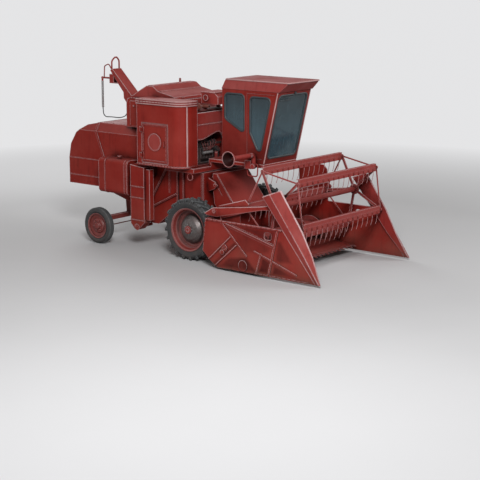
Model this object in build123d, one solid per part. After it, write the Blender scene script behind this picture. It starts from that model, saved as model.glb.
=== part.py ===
# Combine harvester with a cab and a five-bat pickup reel, in millimetres.
# Forward is +X, the machine's left is +Y and up is +Z. While the pieces are drawn, x = 0 is the drive
# axle, y = 0 the machine's middle plane and z = 0 the ground. save() then moves them along X, so that
# the middle of the machine's length is at x = 0.
import math
import os

from build123d import *

# Reach of the whole machine
REAR_END = -4400  # rear face of the straw hood
FRONT_TIP = 3880  # tips of the crop dividers
MOVE_X = -(REAR_END + FRONT_TIP) / 2

# Clearances
SEAT = 0.3  # between curved faces that rest on each other
FIT = 0.05  # radial, shaft in its hole
RUN = 8  # beside a moving panel

# Drive wheels and their axle
DRIVE_R = 700
DRIVE_W = 400
DRIVE_OUT = 1440  # outer face of the tyre
DRIVE_RIM_R = 470  # bead seat of the rim
LUG = 34  # height of the tread's bars
LUGS = 20  # bars on each side of the tread
LUG_WIDE = 52
LUG_LEAD = 150  # how far a bar's middle end stands ahead of its outer end
SHOULDER_DROP = 85  # from the tread down to the tyre's shoulder
DRIVE_Y = DRIVE_OUT - DRIVE_W / 2
SPINDLE_R = 45
AXLE_BEAM = 160
FINAL_DRIVE_R = 210

# Steered wheels and their axle
WHEELBASE = 2890
STEER_R = 430
STEER_W = 200
STEER_OUT = 1430
STEER_RIM_R = 285
KINGPIN_Y = 1080
KINGPIN_R = 22
KNUCKLE_R = 46
STEER_SPINDLE_R = 28
STEER_BEAM = 110
STEER_ARM = 180  # kingpin to tie rod pin
TIE_PIN_R = 10
TIE_ROD_R = 13
STEER_X = -WHEELBASE
STEER_Y = STEER_OUT - STEER_W / 2

# Separator body and straw hood
BODY_HALF = 750
UPPER_HALF = 820
UPPER_Z = 1980  # lower edge of the upper side panels
BODY_TOP = 2780
SHOULDER = 190  # chamfer along the top edges
BODY_FRONT = -100
BODY_FLOOR = 830
SUMP_FLOOR = 550
HOOD_WALL = 25
HOOD_LOW = 1250
HOOD_LONG = 1230
HOOD_FRONT = REAR_END + HOOD_LONG
HOOD_LEAN = 330  # rearward slant of the seam between body and hood
REAR_FLOOR = [(HOOD_FRONT + 1020, 900), (HOOD_FRONT + 170, 1130)]  # slanted floor over the rear axle
BEAD = 8  # pressed beads and straps stand this far proud of a sheet
TAIL_R = 900

# Grain tank and its lid
TANK_REAR = -2450
TANK_FRONT = -960
TANK_HALF = 790
TANK_TOP = 3480
TANK_WALL = 25
TANK_CORNER_R = 130
LID_WALL = 25
LID_RISE = 290

# Radiator box beside the tank
RAD_REAR = -1600
RAD_FRONT = -200
RAD_OUT = -1340
RAD_LOW = 2030
RAD_TOP = 3545
RAD_CORNER_R = 330
RAD_CAP = 115  # height of the cap band
RAD_PROUD = 14
RAD_DOOR = [-1450, -650, RAD_LOW + 70, RAD_TOP - 535]  # rear, front, bottom, top
PANEL_T = 30

# Engine bay, deck and what stands on it
BAY_FRONT = -250
BAY_LEFT = 410
BAY_RIGHT = -TANK_HALF - 40
BAY_TOP = 3300
BAY_WALL = 25
BAY_CORNER_R = 120
BELT_LINE = 2970  # moulding across the engine hood
DECK_TOP = 2030
DECK_T = 110
DECK_FRONT = -100
DECK_RIGHT = -1090
DECK_LEFT = 1050
LADDER_REAR = -1340
LADDER_WIDE = 380
LADDER_FOOT = 480
WALK_FRONT = 1000
FLOOR_T = 80
MUFFLER_R = 68
MUFFLER_X = -330
AIR_BOX = [-500, 0, -350, 250, 120, 370]  # rear, front, right, left, bottom and top above the hood

# Pipe with a bell mouth at the cab floor's corner
PIPE_X = 1200
PIPE_Z = 2410
PIPE_R = 52
PIPE_OUT = 60  # cab's side to the pipe's elbow
PIPE_LONG = 890  # elbow to the bell's mouth
BELL_R = 175

# Cab
CAB_Y = 110  # the cab stands a little to the left of the middle
CAB_HALF = 600
CAB_REAR = 240
CAB_FRONT_LOW = 1430
CAB_FRONT_TOP = 1820
CAB_FLOOR = 2200
CAB_TOP = 3820
CAB_WALL = 40
DOOR_REAR = 960
DOOR_SIDE = 1  # the cab's only door is on the left
ROOF_T = 210
GLASS_T = 8
PANE_CORNER_R = 55

# Feeder house and header
LIFT_X = 120  # hinge of feeder house and header
LIFT_Z = 1620
LIFT_PIN_R = 40
FEEDER_HALF = 560
FEEDER_LOW = 500
HEADER_HALF = 1720  # outer faces of the end sheets
SNOUT_WIDE = 128
SNOUT_PROUD = 22  # ridge beyond the end sheet
SNOUT_HIGH = (2360, 1760)  # ends of the snout's straight rear edge
SNOUT_LOW = (FRONT_TIP - 110, 60)
END_SHEET = 30
BACK_X = 790
BACK_TOP = 1115
SHEET = 12
KNIFE_X = 2380
KNIFE_Z = 150
GUARD_PITCH = 152.4
GUARD_LONG = 130
AUGER_X = 1330
AUGER_Z = 520
AUGER_R = 270
AUGER_TUBE_R = 150
FLIGHT_T = 26
FLIGHT_TURN = 828  # degrees that each side's flight winds
FLIGHT_INNER = 500  # the flights end this far from the middle
FINGERS = 12
AUGER_SHAFT_R = 30

# Reel
REEL_X = 2520
REEL_Z = 1520
REEL_R = 810
REEL_TUBE_R = 58
REEL_SHAFT_R = 30
BATS = 5
BAT_TURN = 43.7  # angle of the first bat above level, forward
ARM_X = 900  # pivot of the reel arms
ARM_Z = 1250
ARM_T = 50
ARM_Y = HEADER_HALF - SNOUT_WIDE - ARM_T / 2 - 22  # middle of each arm
SPIDER_Y = ARM_Y - 75
SPIDER_T = 24
BAT_HALF = SPIDER_Y - 25
BAT_HIGH = 170
BAT_T = 24
BAT_FLANGE = 60
BAT_PIN_R = 14
TINES = 15  # on each bat
TINE_PITCH = 190
TINE_T = 9
ARM_PIN_R = 20

# Lift cylinders
CYL_REAR = (100, 520)
CYL_FRONT = (660, 420)
CYL_Y = 400
CYL_R = 38
ROD_R = 22
CYL_EAR_Y = 48  # cylinder's middle to each ear
CYL_EAR_T = 14

# Unloading auger on the left
UNLOAD_X = -1650
UNLOAD_Y = 1010
UNLOAD_Z = 2450  # middle of the tube
UNLOAD_R = 125
TURRET_R = 150
TURRET_TOP = 2240
UNLOAD_END = -3800
CRADLE_GAP = 6

SIDES = {"right": -1, "left": 1}


def save(name, *shapes):
    """Write the pieces of one node."""
    whole = shapes[0]
    for shape in shapes[1:]:
        whole = whole + shape
    export_step(Pos(MOVE_X, 0, 0) * whole, f"parts/{name}.step")


def block(x0, x1, y0, y1, z0, z1):
    """Block between two planes in each direction."""
    return Pos((x0 + x1) / 2, (y0 + y1) / 2, (z0 + z1) / 2) * Box(abs(x1 - x0), abs(y1 - y0), abs(z1 - z0))


def side_prism(points, y0, y1):
    """Side view of (x, z) points carried across from y0 to y1."""
    low, high = min(y0, y1), max(y0, y1)
    face = make_face(Polyline(*[(x, low, z) for x, z in points], close=True))
    return extrude(face, amount=high - low, dir=(0, 1, 0))


def front_prism(points, x0, x1):
    """Front view of (y, z) points carried along from x0 to x1."""
    face = make_face(Polyline(*[(x0, y, z) for y, z in points], close=True))
    return extrude(face, amount=x1 - x0, dir=(1, 0, 0))


def plan_prism(points, z0, z1):
    """Plan view of (x, y) points carried up from z0 to z1."""
    face = make_face(Polyline(*[(x, y, z0) for x, y in points], close=True))
    return extrude(face, amount=z1 - z0, dir=(0, 0, 1))


def round_bar(a, b, radius):
    """Round bar from point a to point b."""
    run = Vector(*b) - Vector(*a)
    return Solid.make_cylinder(radius, run.length, Plane(origin=a, z_dir=run))


def flat_bar(a, b, wide, thick, across=(0, 1, 0)):
    """Rectangular bar from a to b, its width along across."""
    run = Vector(*b) - Vector(*a)
    plane = Plane(origin=a, x_dir=across, z_dir=run)
    return extrude(plane * Rectangle(wide, thick), amount=run.length)


def turned(points, x, z):
    """Ring of revolution about the Y line through (x, z) from (radius, y) points."""
    face = make_face(Polyline(*[(radius, y, 0) for radius, y in points], close=True))
    return Pos(x, 0, z) * revolve(face, Axis.Y)


def upright_turned(points, x, y):
    """Ring of revolution about the Z line through (x, y) from (radius, z) points."""
    face = make_face(Polyline(*[(radius, 0, z) for radius, z in points], close=True))
    return Pos(x, y, 0) * revolve(face, Axis.Z)


def cross_pin(x, z, y0, y1, radius):
    """Pin along Y."""
    return round_bar((x, min(y0, y1), z), (x, max(y0, y1), z), radius)


def strip(a, b, wide, y0, y1):
    """Flat strip between two (x, z) points, carried across from y0 to y1."""
    dx, dz = b[0] - a[0], b[1] - a[1]
    share = wide / 2 / math.hypot(dx, dz)
    nx, nz = -dz * share, dx * share
    corners = [(a[0] + nx, a[1] + nz), (b[0] + nx, b[1] + nz), (b[0] - nx, b[1] - nz), (a[0] - nx, a[1] - nz)]
    return side_prism(corners, y0, y1)


def belt_loop(wheels, grow, y0, y1):
    """Closed belt or cover round wheels given as (x, z, radius), carried from y0 to y1."""
    rims = [Pos(x, z) * Circle(radius + grow) for x, z, radius in wheels]
    hull = make_hull([edge for rim in rims for edge in rim.edges()])
    plane = Plane(origin=(0, max(y0, y1), 0), x_dir=(1, 0, 0), z_dir=(0, -1, 0))
    return extrude(plane * hull, amount=abs(y1 - y0))


def tube(points, radius, bends):
    """Round tube along straight runs joined by arcs of the given radii."""
    path = FilletPolyline(*points, radius=bends)
    return sweep(Plane(origin=path @ 0, z_dir=path % 0) * Circle(radius), path=path)


def bend_radii(points):
    """Radius of each bend: 0.45 of the shorter run over the tangent of half the turn."""
    vectors = [Vector(*b) - Vector(*a) for a, b in zip(points, points[1:])]
    radii = []
    for before, after in zip(vectors, vectors[1:]):
        half_turn = math.radians(before.get_angle(after)) / 2
        radii.append(round(0.45 * min(before.length, after.length) / math.tan(half_turn), 1))
    return radii


def mirrored(side, shape):
    """The shape as drawn for the left, or its mirror image for the right."""
    return shape if side > 0 else mirror(shape, about=Plane.XZ)


HINGE_PIN_R = 8
HINGE_BARREL_R = 15
HINGE_OFF = 17  # axis to the face that the leaves lie on
HINGE_LEAF = 70
HINGE_LEAF_T = 8
HINGE_LONG = 90


def hinge(plane):
    """Fixed and moving half of a hinge: the plane's Z is the axis, X points along the moving panel."""
    half = HINGE_LONG / 2
    end = half + 14
    low = -HINGE_OFF
    fixed = Pos(-HINGE_LEAF / 2 - 10, low + HINGE_LEAF_T / 2, 0) * Box(HINGE_LEAF - 20, HINGE_LEAF_T, 2 * end)
    for way in (-1, 1):
        cheek = Pos(-22, low / 2 - 2, way * (end + half + 4) / 2) * Box(44, HINGE_OFF + 4, end - half - 4)
        fixed = fixed + cheek + Pos(0, 0, way * (end + half + 4) / 2) * Cylinder(HINGE_BARREL_R, end - half - 4)
    fixed = fixed + Cylinder(HINGE_PIN_R, 2 * end)
    moving = Cylinder(HINGE_BARREL_R, HINGE_LONG)
    moving = moving + Pos(HINGE_LEAF / 2, low + HINGE_LEAF_T / 2, 0) * Box(HINGE_LEAF, HINGE_LEAF_T, HINGE_LONG)
    moving = moving - Cylinder(HINGE_PIN_R + FIT, 2 * end)
    return plane * fixed, plane * moving


# Chassis and body


def body_section(half, wall=0):
    """Front view of the upper body with its chamfered shoulders, inset by the wall."""
    top = BODY_TOP - wall
    return [
        (-half + wall, 0),
        (half - wall, 0),
        (half - wall, top - SHOULDER + wall * 0.4),
        (half - SHOULDER + wall * 0.4, top),
        (-half + SHOULDER - wall * 0.4, top),
        (-half + wall, top - SHOULDER + wall * 0.4),
    ]


# Belt covers on the left side, as wheels (x, z, radius) that each one goes round
BELT_COVERS = [
    [(-620, 1330, 170), (-1480, 1500, 270)],
    [(-1850, 1380, 130), (-2420, 1640, 210)],
]
COVER_T = 60
BODY_RIBS = [-2860, -1140]


def separator_body():
    lower = side_prism(
        [
            (BODY_FRONT, UPPER_Z - 80),
            (BODY_FRONT, BODY_FLOOR),
            (-1140, BODY_FLOOR),
            (-1500, SUMP_FLOOR),
            (-1850, SUMP_FLOOR),
            *REAR_FLOOR,
            (HOOD_FRONT + 60, HOOD_LOW + 20),
            (HOOD_FRONT + 60, UPPER_Z),
            (TANK_FRONT, UPPER_Z),
            (TANK_FRONT, UPPER_Z - 80),
        ],
        -BODY_HALF,
        BODY_HALF,
    )
    upper = side_prism(
        [
            (TANK_FRONT, UPPER_Z),
            (TANK_FRONT, BODY_TOP),
            (HOOD_FRONT - HOOD_LEAN, BODY_TOP),
            (HOOD_FRONT, UPPER_Z),
        ],
        -UPPER_HALF,
        UPPER_HALF,
    )
    upper = upper & front_prism(body_section(UPPER_HALF), REAR_END, 0)
    body = lower + upper
    for wheels in BELT_COVERS:
        ridge = [(x, z, radius / 3) for x, z, radius in wheels]
        body = body + belt_loop(wheels, 0, BODY_HALF, BODY_HALF + COVER_T)
        body = body + belt_loop(ridge, 0, BODY_HALF, BODY_HALF + COVER_T + BEAD)
    for x in BODY_RIBS:
        body = body + block(x - 20, x + 20, -BODY_HALF - BEAD, BODY_HALF + BEAD, 1330, UPPER_Z)
    return body


HOOD_CREASES = [1890, 1470]  # heights of the pressed beads
CREASE = 16  # half the height of a bead
STRAP = 70  # width of the strap along the seam


def hood_outline(wall):
    """Side view of the hood, inset by the wall."""
    rear = REAR_END + wall
    top = BODY_TOP - wall
    low = HOOD_LOW - 200 * (wall > 0)
    bend = TAIL_R - wall
    points = [(0, low), (0, top), (rear + bend, top)]
    for turn in (22.5, 45, 67.5):
        a = math.radians(turn)
        points.append((rear + bend - bend * math.sin(a), top - bend + bend * math.cos(a)))
    return points + [(rear, top - bend), (rear, low)]


def hood_solid(wall):
    shape = side_prism(hood_outline(wall), -UPPER_HALF - BEAD, UPPER_HALF + BEAD)
    return shape & front_prism(body_section(UPPER_HALF, wall), REAR_END - 20, 10)


def before_seam(back):
    """All that lies ahead of the seam between body and hood, moved back along the machine."""
    slope = HOOD_LEAN / (BODY_TOP - UPPER_Z)
    top = BODY_TOP + 50
    seam = [(HOOD_FRONT - back - slope * (top - UPPER_Z), top), (HOOD_FRONT - back, UPPER_Z), (HOOD_FRONT - back, 0)]
    return side_prism(seam + [(50, 0), (50, top)], -BODY_TOP, BODY_TOP)


def straw_hood():
    """Sheet hood behind the body, open below and towards the body."""
    strap = hood_solid(-BEAD) & before_seam(STRAP)
    hood = hood_solid(0) + strap
    for z in HOOD_CREASES:
        for side in SIDES.values():
            edge = side * UPPER_HALF
            bead = [(edge, z - CREASE), (edge + side * BEAD, z), (edge, z + CREASE)]
            hood = hood + front_prism(bead, REAR_END + 20, HOOD_FRONT - STRAP)
    cradle_top = UNLOAD_Z - UNLOAD_R - CRADLE_GAP
    cradle = block(UNLOAD_END + 160, UNLOAD_END + 220, UPPER_HALF - 5, UNLOAD_Y + 70, cradle_top - 40, cradle_top)
    return hood + cradle - hood_solid(HOOD_WALL) - before_seam(0)


TANK_PANEL = [-2330, -1640, 2810, 3400]  # raised panel on the right side: rear, front, bottom, top
TANK_RIBS = [-2200, -1700, -1200]  # on the left side


def grain_tank():
    def outline(wall):
        bend = TANK_CORNER_R
        return [
            (TANK_REAR + wall, BODY_TOP + wall),
            (TANK_REAR + wall, TANK_TOP - bend),
            (TANK_REAR + wall + bend * 0.3, TANK_TOP - bend * 0.3),
            (TANK_REAR + wall + bend, TANK_TOP + wall * 2),
            (TANK_FRONT - wall, TANK_TOP + wall * 2),
            (TANK_FRONT - wall, BODY_TOP + wall),
        ]

    tank = side_prism(outline(0), -TANK_HALF, TANK_HALF)
    for side in SIDES.values():
        edge = side * TANK_HALF
        tank = tank + block(TANK_REAR + TANK_CORNER_R, TANK_FRONT - 30, edge, edge + side * 18, TANK_TOP - 25, TANK_TOP)
    rear, front, low, top = TANK_PANEL
    tank = tank + block(rear, front, -TANK_HALF - BEAD, -TANK_HALF, low, top)
    tank = tank + cross_pin(TANK_REAR + 260, TANK_TOP - 200, -TANK_HALF - 36, -TANK_HALF, 22)
    for x in TANK_RIBS:
        tank = tank + block(x - 20, x + 20, TANK_HALF, TANK_HALF + 12, BODY_TOP + 20, TANK_TOP - 40)
    inner = side_prism(outline(TANK_WALL), -TANK_HALF + TANK_WALL, TANK_HALF - TANK_WALL)
    return tank - inner


LID_AXIS_X = TANK_FRONT + HINGE_OFF
LID_AXIS_Z = TANK_TOP
LID_GAP = 8
# Side view of the lid from its rear edge to the hinge: x from the hinge line, z above the tank
LID_PROFILE = [(-1370, 0), (-1160, 130), (-870, LID_RISE), (-680, LID_RISE), (-520, 180), (-120, 100), (-HINGE_OFF, 70)]
LID_RIDGES = [(-870, -680), (-520, -440)]  # raised bands across the lid


def lid_planes():
    """Two hinges along the tank's front wall, the lid's leaves upwards."""
    return [Plane(origin=(LID_AXIS_X, y, LID_AXIS_Z), x_dir=(0, 0, 1), z_dir=(0, 1, 0)) for y in (-450, 450)]


def tank_cover():
    base = TANK_TOP + LID_GAP

    def outline(wall):
        points = [(LID_AXIS_X + x * (1 - wall / 1400), base + z - wall) for x, z in LID_PROFILE]
        front = LID_AXIS_X - HINGE_OFF - wall
        return points[:-1] + [(front, base + 70 - wall), (front, base - 2 * wall)]

    half = TANK_HALF - 20
    cover = side_prism(outline(0), -half, half)
    heights = dict(LID_PROFILE)
    for rear, front in LID_RIDGES:
        high = base + heights[rear]
        low = high if front in heights else high - 12
        band = [(rear + 14, high - 4), (rear + 20, high + 10), (front - 20, low + 10), (front - 14, low - 4)]
        cover = cover + side_prism([(LID_AXIS_X + x, z) for x, z in band], -half + 40, half - 40)
    x, y, foot, top = LID_AXIS_X - 1047, 600, base + 150, base + 362
    cover = cover + round_bar((x, y, foot), (x, y, top), 26) - round_bar((x, y, top - 40), (x, y, top + 1), 20)
    inner = side_prism(outline(LID_WALL), -half + LID_WALL, half - LID_WALL)
    return cover - inner


def radiator_slab(proud, low, top):
    """Plan of the box with its round front corner, grown outwards, between two heights."""
    whole = block(RAD_REAR - proud, RAD_FRONT + proud, RAD_OUT - proud, -TANK_HALF - SEAT - 40, low, top)
    corner = whole.edges().filter_by(Axis.Z).sort_by(Axis.X)[-2:].sort_by(Axis.Y)[0]
    return fillet(corner, RAD_CORNER_R + proud)


def radiator_box():
    whole = radiator_slab(0, RAD_LOW, RAD_TOP - RAD_CAP) + radiator_slab(RAD_PROUD, RAD_TOP - RAD_CAP, RAD_TOP)
    whole = whole + radiator_slab(BEAD, RAD_LOW, RAD_LOW + 35)
    rear, front, low, top = RAD_DOOR
    recess = block(rear, front, RAD_OUT - 20, RAD_OUT + PANEL_T + RUN, low, top)
    return whole - recess


DOOR_BORDER = 34  # width of the raised frame
DOOR_EDGE = 30  # opening's edge to the frame


def radiator_door():
    rear, front, low, top = RAD_DOOR
    y0, y1 = RAD_OUT, RAD_OUT + PANEL_T
    door = block(rear + RUN, front - RUN, y0, y1, low + RUN, top - RUN)
    edge, inset = DOOR_EDGE, DOOR_EDGE + DOOR_BORDER
    border = block(rear + edge, front - edge, y0 - BEAD, y0, low + edge, top - edge)
    border = border - block(rear + inset, front - inset, y0 - BEAD - 1, y0 + 1, low + inset, top - inset)
    x, middle = front - 95, (low + top) / 2
    low, high, out = middle - 60, middle + 60, y0 - 38
    return door + border + tube([(x, y0, low), (x, out, low), (x, out, high), (x, y0, high)], 7, [14, 14])


def radiator_planes():
    rear, front, low, top = RAD_DOOR
    axis = (rear + RUN / 2, RAD_OUT - HINGE_OFF)
    return [Plane(origin=(*axis, z), x_dir=(1, 0, 0), z_dir=(0, 0, -1)) for z in (low + 160, top - 160)]


# Engine bay and deck


# Front view (y, z) of the opening that shows the engine, from its lower right corner
BAY_OPENING = [(140, DECK_TOP + 20), (160, 2310), (140, 2550), (90, 2690), (-20, 2760)]
BAY_OPENING += [(-130, 2760), (-340, 2700), (-590, 2630)]
BAY_ROUND = 110
BAY_LIP = 18
LOUVRES = 6


def bay_mouth(grow, x0, x1):
    """The opening's outline grown outwards, between two planes across the machine."""
    right = BAY_RIGHT - 60
    outline = [(right, DECK_TOP + 20), *BAY_OPENING, (right, 2630)]
    whole = front_prism(outline, x0, x1)
    bends = [edge for edge in whole.edges().filter_by(Axis.X) if edge.center().Z > 2540 and edge.center().Y > BAY_RIGHT]
    whole = fillet(bends, BAY_ROUND)
    if grow:
        whole = extrude(offset(whole.faces().sort_by(Axis.X)[0], amount=grow), amount=x1 - x0, dir=(1, 0, 0))
    return whole


def engine_hood():
    profile = [
        (TANK_FRONT + 2, DECK_TOP),
        (BAY_FRONT, DECK_TOP),
        (BAY_FRONT, BAY_TOP),
        (TANK_FRONT + 2, BAY_TOP),
    ]
    whole = side_prism(profile, BAY_RIGHT, BAY_LEFT)
    corner = whole.edges().filter_by(Axis.Y).sort_by(Axis.Z)[-2:].sort_by(Axis.X)[-1]
    whole = fillet(corner, BAY_CORNER_R)
    side_corner = whole.edges().filter_by(Axis.Z).sort_by(Axis.Y)[-2:].sort_by(Axis.X)[-1]
    whole = fillet(side_corner, BAY_CORNER_R / 3)
    proud, right, left = BAY_FRONT + BEAD, BAY_RIGHT + 5, BAY_LEFT - BAY_CORNER_R / 3
    moulding = block(BAY_FRONT, proud, right, left, BELT_LINE - 14, BELT_LINE + 14)
    lip = bay_mouth(BAY_LIP, BAY_FRONT, proud) & block(BAY_FRONT, proud, right, left, DECK_TOP, BAY_TOP)
    whole = whole + moulding + lip
    for i in range(LOUVRES):
        z = DECK_TOP + 240 + i * 70
        whole = whole + front_prism([(BAY_LEFT, z), (BAY_LEFT + 18, z), (BAY_LEFT, z + 45)], -820, -420)
    inside = block(TANK_FRONT - 1, BAY_FRONT - BAY_WALL, BAY_RIGHT - 1, BAY_LEFT - BAY_WALL, 0, BAY_TOP - BAY_WALL)
    post = round_bar((BAY_FRONT - 40, BAY_RIGHT + 45, DECK_TOP), (BAY_FRONT - 40, BAY_RIGHT + 45, 2660), 26)
    return whole - inside - bay_mouth(0, BAY_FRONT - 60, BAY_FRONT + 60) + post


ENGINE = [-800, -440, -540, 140]  # rear, front, right, left
HEAD_Z = 2400
HEAD_TOP = 2560


def engine_block():
    rear, front, right, left = ENGINE
    low, waist = DECK_TOP + 15, 2150
    sump = [(rear + 90, low), (front - 90, low), (front, waist), (front, HEAD_Z), (rear, HEAD_Z), (rear, waist)]
    crank = side_prism(sump, right, left)
    for x in (rear + 30, front - 30):
        crank = crank + block(x - 25, x + 25, right - 80, left + 80, DECK_TOP, DECK_TOP + 45)
        for y in (right + 60, left - 60):
            crank = crank + block(x - 25, x + 25, y - 30, y + 30, DECK_TOP, 2200)
    head = block(rear + 40, front - 40, right + 40, left - 40, HEAD_Z, HEAD_TOP)
    cover = block(rear + 90, front - 90, right + 70, left - 70, HEAD_TOP, HEAD_TOP + 90)
    cover = fillet(cover.edges().filter_by(Axis.Y).sort_by(Axis.Z)[-2:], 40)
    engine = crank + head + cover
    for i in range(6):
        y = right + 80 + i * 105
        engine = engine + block(front, front + 14, y - 9, y + 9, 2170, HEAD_Z - 20)
        engine = engine + block(front - 40, front - 20, y - 30, y + 30, HEAD_Z + 20, HEAD_TOP - 20)
    pipe_x, pipe_z = front + 10, 2475
    engine = engine + cross_pin(pipe_x, pipe_z, -390, 250, 27)
    for y in (-330, -180, -30, 80):
        engine = engine + round_bar((front - 60, y, pipe_z), (pipe_x, y, pipe_z), 19)
    filter_y = -235
    engine = engine + round_bar((front - 50, filter_y, HEAD_TOP + 20), (front - 50, filter_y, HEAD_TOP + 190), 52)
    engine = engine + block(front - 110, front - 50, filter_y - 25, filter_y + 25, HEAD_TOP - 20, HEAD_TOP + 60)
    return engine + cross_pin(front - 60, 2300, left - 10, left + 90, 70)


# Pulleys on the engine's right end: x, z, radius, and the face that its shaft meets
PULLEYS = [
    (-620, 2230, 115, ENGINE[2]),
    (-620, 2490, 85, ENGINE[2] + 40),
    (-478, 2365, 55, ENGINE[2]),
]
BELT_Y = -640  # outer face of the pulleys
PULLEY_WIDE = 44
BELT_T = 9


def engine_belts():
    """Pulleys on the block's right end, with the belt loops round them."""
    wheels = [(x, z, radius) for x, z, radius, _ in PULLEYS]
    drive = None
    for x, z, radius, seat_y in PULLEYS:
        disc = cross_pin(x, z, BELT_Y, BELT_Y + PULLEY_WIDE, radius)
        disc = disc + cross_pin(x, z, BELT_Y - 14, seat_y - SEAT, 30)
        drive = disc if drive is None else drive + disc
    for y in (BELT_Y + 6, BELT_Y + 26):
        belt = belt_loop(wheels, BELT_T, y, y + 13) - belt_loop(wheels, -2, y - 1, y + 14)
        drive = drive + belt
    return drive


def muffler():
    x, z = MUFFLER_X, BAY_TOP + MUFFLER_R + 10
    flange_y = AIR_BOX[2] - 290
    mouth_y = AIR_BOX[2] - 70
    can = cross_pin(x, z, BAY_RIGHT + 20, flange_y, MUFFLER_R)
    can = can + cross_pin(x, z, flange_y - 14, flange_y + 14, MUFFLER_R + 14)
    tail = tube([(x, flange_y, z), (x, mouth_y, z), (x + 130, mouth_y, z)], 40, [52])
    tail = tail - round_bar((x + 60, mouth_y, z), (x + 140, mouth_y, z), 31)
    tail = tail + cross_pin(x, z, flange_y + 60, flange_y + 78, 50)
    feet = None
    for y in (-780, flange_y - 40):
        foot = block(x - 80, x - 42, y - 15, y + 15, BAY_TOP, z)
        feet = foot if feet is None else feet + foot
    return can + tail + feet


def air_box():
    """Box for the engine's air over the hood, its front top edge chamfered."""
    rear, front, right, left, low, top = AIR_BOX
    low, top = BAY_TOP + low, BAY_TOP + top
    outline = [(rear, low), (front, low), (front, top - 70), (front - 90, top), (rear, top)]
    box = side_prism(outline, right, left)
    box = box + block(rear - 20, front - 80, right - 8, left + 8, top, top + 22)
    x, z = -340, low + 140
    box = box + cross_pin(x, z, right - 40, right, 75) - cross_pin(x, z, right - 41, right - 20, 55)
    for y in (right + 60, left - 60):
        box = box + block(rear + 20, rear + 100, y - 30, y + 30, BAY_TOP, low)
    return box


# Guard rail along the deck's left edge
RAIL_R = 15
RAIL_POSTS = [-900, -500, -130]
RAIL_TOP = 2950


def platform():
    low = DECK_TOP - DECK_T
    deck = block(TANK_FRONT, DECK_FRONT, DECK_RIGHT, DECK_LEFT, DECK_TOP - 20, DECK_TOP)
    landing = block(LADDER_REAR - 40, TANK_FRONT, UPPER_HALF + 10, DECK_LEFT, DECK_TOP - 20, DECK_TOP)
    rail = block(DECK_FRONT - 60, DECK_FRONT, DECK_RIGHT, DECK_LEFT, low, DECK_TOP)
    ends = block(TANK_FRONT, DECK_FRONT, DECK_RIGHT, DECK_RIGHT + 40, low, DECK_TOP)
    ends = ends + block(LADDER_REAR - 40, DECK_FRONT, DECK_LEFT - 40, DECK_LEFT, low, DECK_TOP)
    right, left = CAB_Y - CAB_HALF, CAB_Y + CAB_HALF
    forward = block(DECK_FRONT, CAB_FRONT_LOW, right, left, CAB_FLOOR - FLOOR_T, CAB_FLOOR)
    riser = block(DECK_FRONT - 60, DECK_FRONT, right, left, DECK_TOP, CAB_FLOOR)
    walkway = block(DECK_FRONT, WALK_FRONT, left, DECK_LEFT, CAB_FLOOR - FLOOR_T, CAB_FLOOR - FLOOR_T + 20)
    lip = block(DECK_FRONT, DECK_FRONT + BEAD, DECK_RIGHT, right - 10, DECK_TOP - 30, DECK_TOP)
    ring = Pos(DECK_FRONT - 125, DECK_RIGHT + 20, low - 84) * Rot(90, 0, 0) * Torus(78, 12)
    y = DECK_LEFT - 20
    guard = None
    for x in RAIL_POSTS:
        post = round_bar((x, y, DECK_TOP - 10), (x, y, RAIL_TOP), RAIL_R)
        guard = post if guard is None else guard + post
    for z in (RAIL_TOP - RAIL_R, (DECK_TOP + RAIL_TOP) / 2):
        guard = guard + round_bar((RAIL_POSTS[0], y, z), (RAIL_POSTS[-1], y, z), RAIL_R - 2)
    return deck + landing + rail + ends + forward + riser + walkway + lip + ring + guard


BELL_WALL = 14
# Bell from its neck to its mouth: share of the mouth's radius, and distance from the mouth
BELL_CURVE = [(0.6, 130), (0.85, 50), (1, 14), (1, 0)]


def bell_pipe():
    """Pipe with a bell mouth that stands out to the right from the cab floor's front corner."""
    edge = CAB_Y - CAB_HALF
    bend_y = edge - PIPE_OUT
    mouth = bend_y - PIPE_LONG
    neck = PIPE_R + 10
    flare = [(neck, mouth + 210)] + [(BELL_R * share, mouth + back) for share, back in BELL_CURVE]
    inside = [(BELL_R * share - BELL_WALL, mouth + back * 0.94) for share, back in BELL_CURVE if back != 14]
    bell = turned(flare + inside[::-1] + [(neck - 2 * BELL_WALL, mouth + 200)], PIPE_X, PIPE_Z)
    pipe = tube([(PIPE_X, mouth + 180, PIPE_Z), (PIPE_X, bend_y, PIPE_Z), (PIPE_X, bend_y, CAB_FLOOR)], PIPE_R, [90])
    for y in (bend_y - 150, bend_y - 110):
        pipe = pipe + cross_pin(PIPE_X, PIPE_Z, y - 10, y + 10, PIPE_R + 9)
    rear, front = PIPE_X - 220, PIPE_X - 50
    low, top = CAB_FLOOR - 110, CAB_FLOOR + 80
    gear = block(rear, front, bend_y - 50, edge - SEAT, low, CAB_FLOOR - 10)
    gear = gear + block(rear, front, bend_y - 50, bend_y + 40, low, top)
    gear = gear + block(rear, PIPE_X + 40, bend_y - 30, bend_y + 30, CAB_FLOOR - 60, CAB_FLOOR - 10)
    gear = gear + block(rear + 40, front - 40, edge - SEAT - 20, edge, CAB_FLOOR - 65, CAB_FLOOR - 20)
    knob = cross_pin(PIPE_X + 10, CAB_FLOOR - 40, bend_y - 70, bend_y, 60)
    x0, x1, foot = rear + 30, PIPE_X + 120, low - 160
    hoop = [(x0, low + 20), (x0 + 20, foot), (x1 - 20, foot), (x1, CAB_FLOOR + 10), (PIPE_X, CAB_FLOOR + 10)]
    handle = tube([(x, bend_y, z) for x, z in hoop], 14, [60, 60, 60])
    return bell + pipe + gear + knob + handle


# Cab


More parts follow.
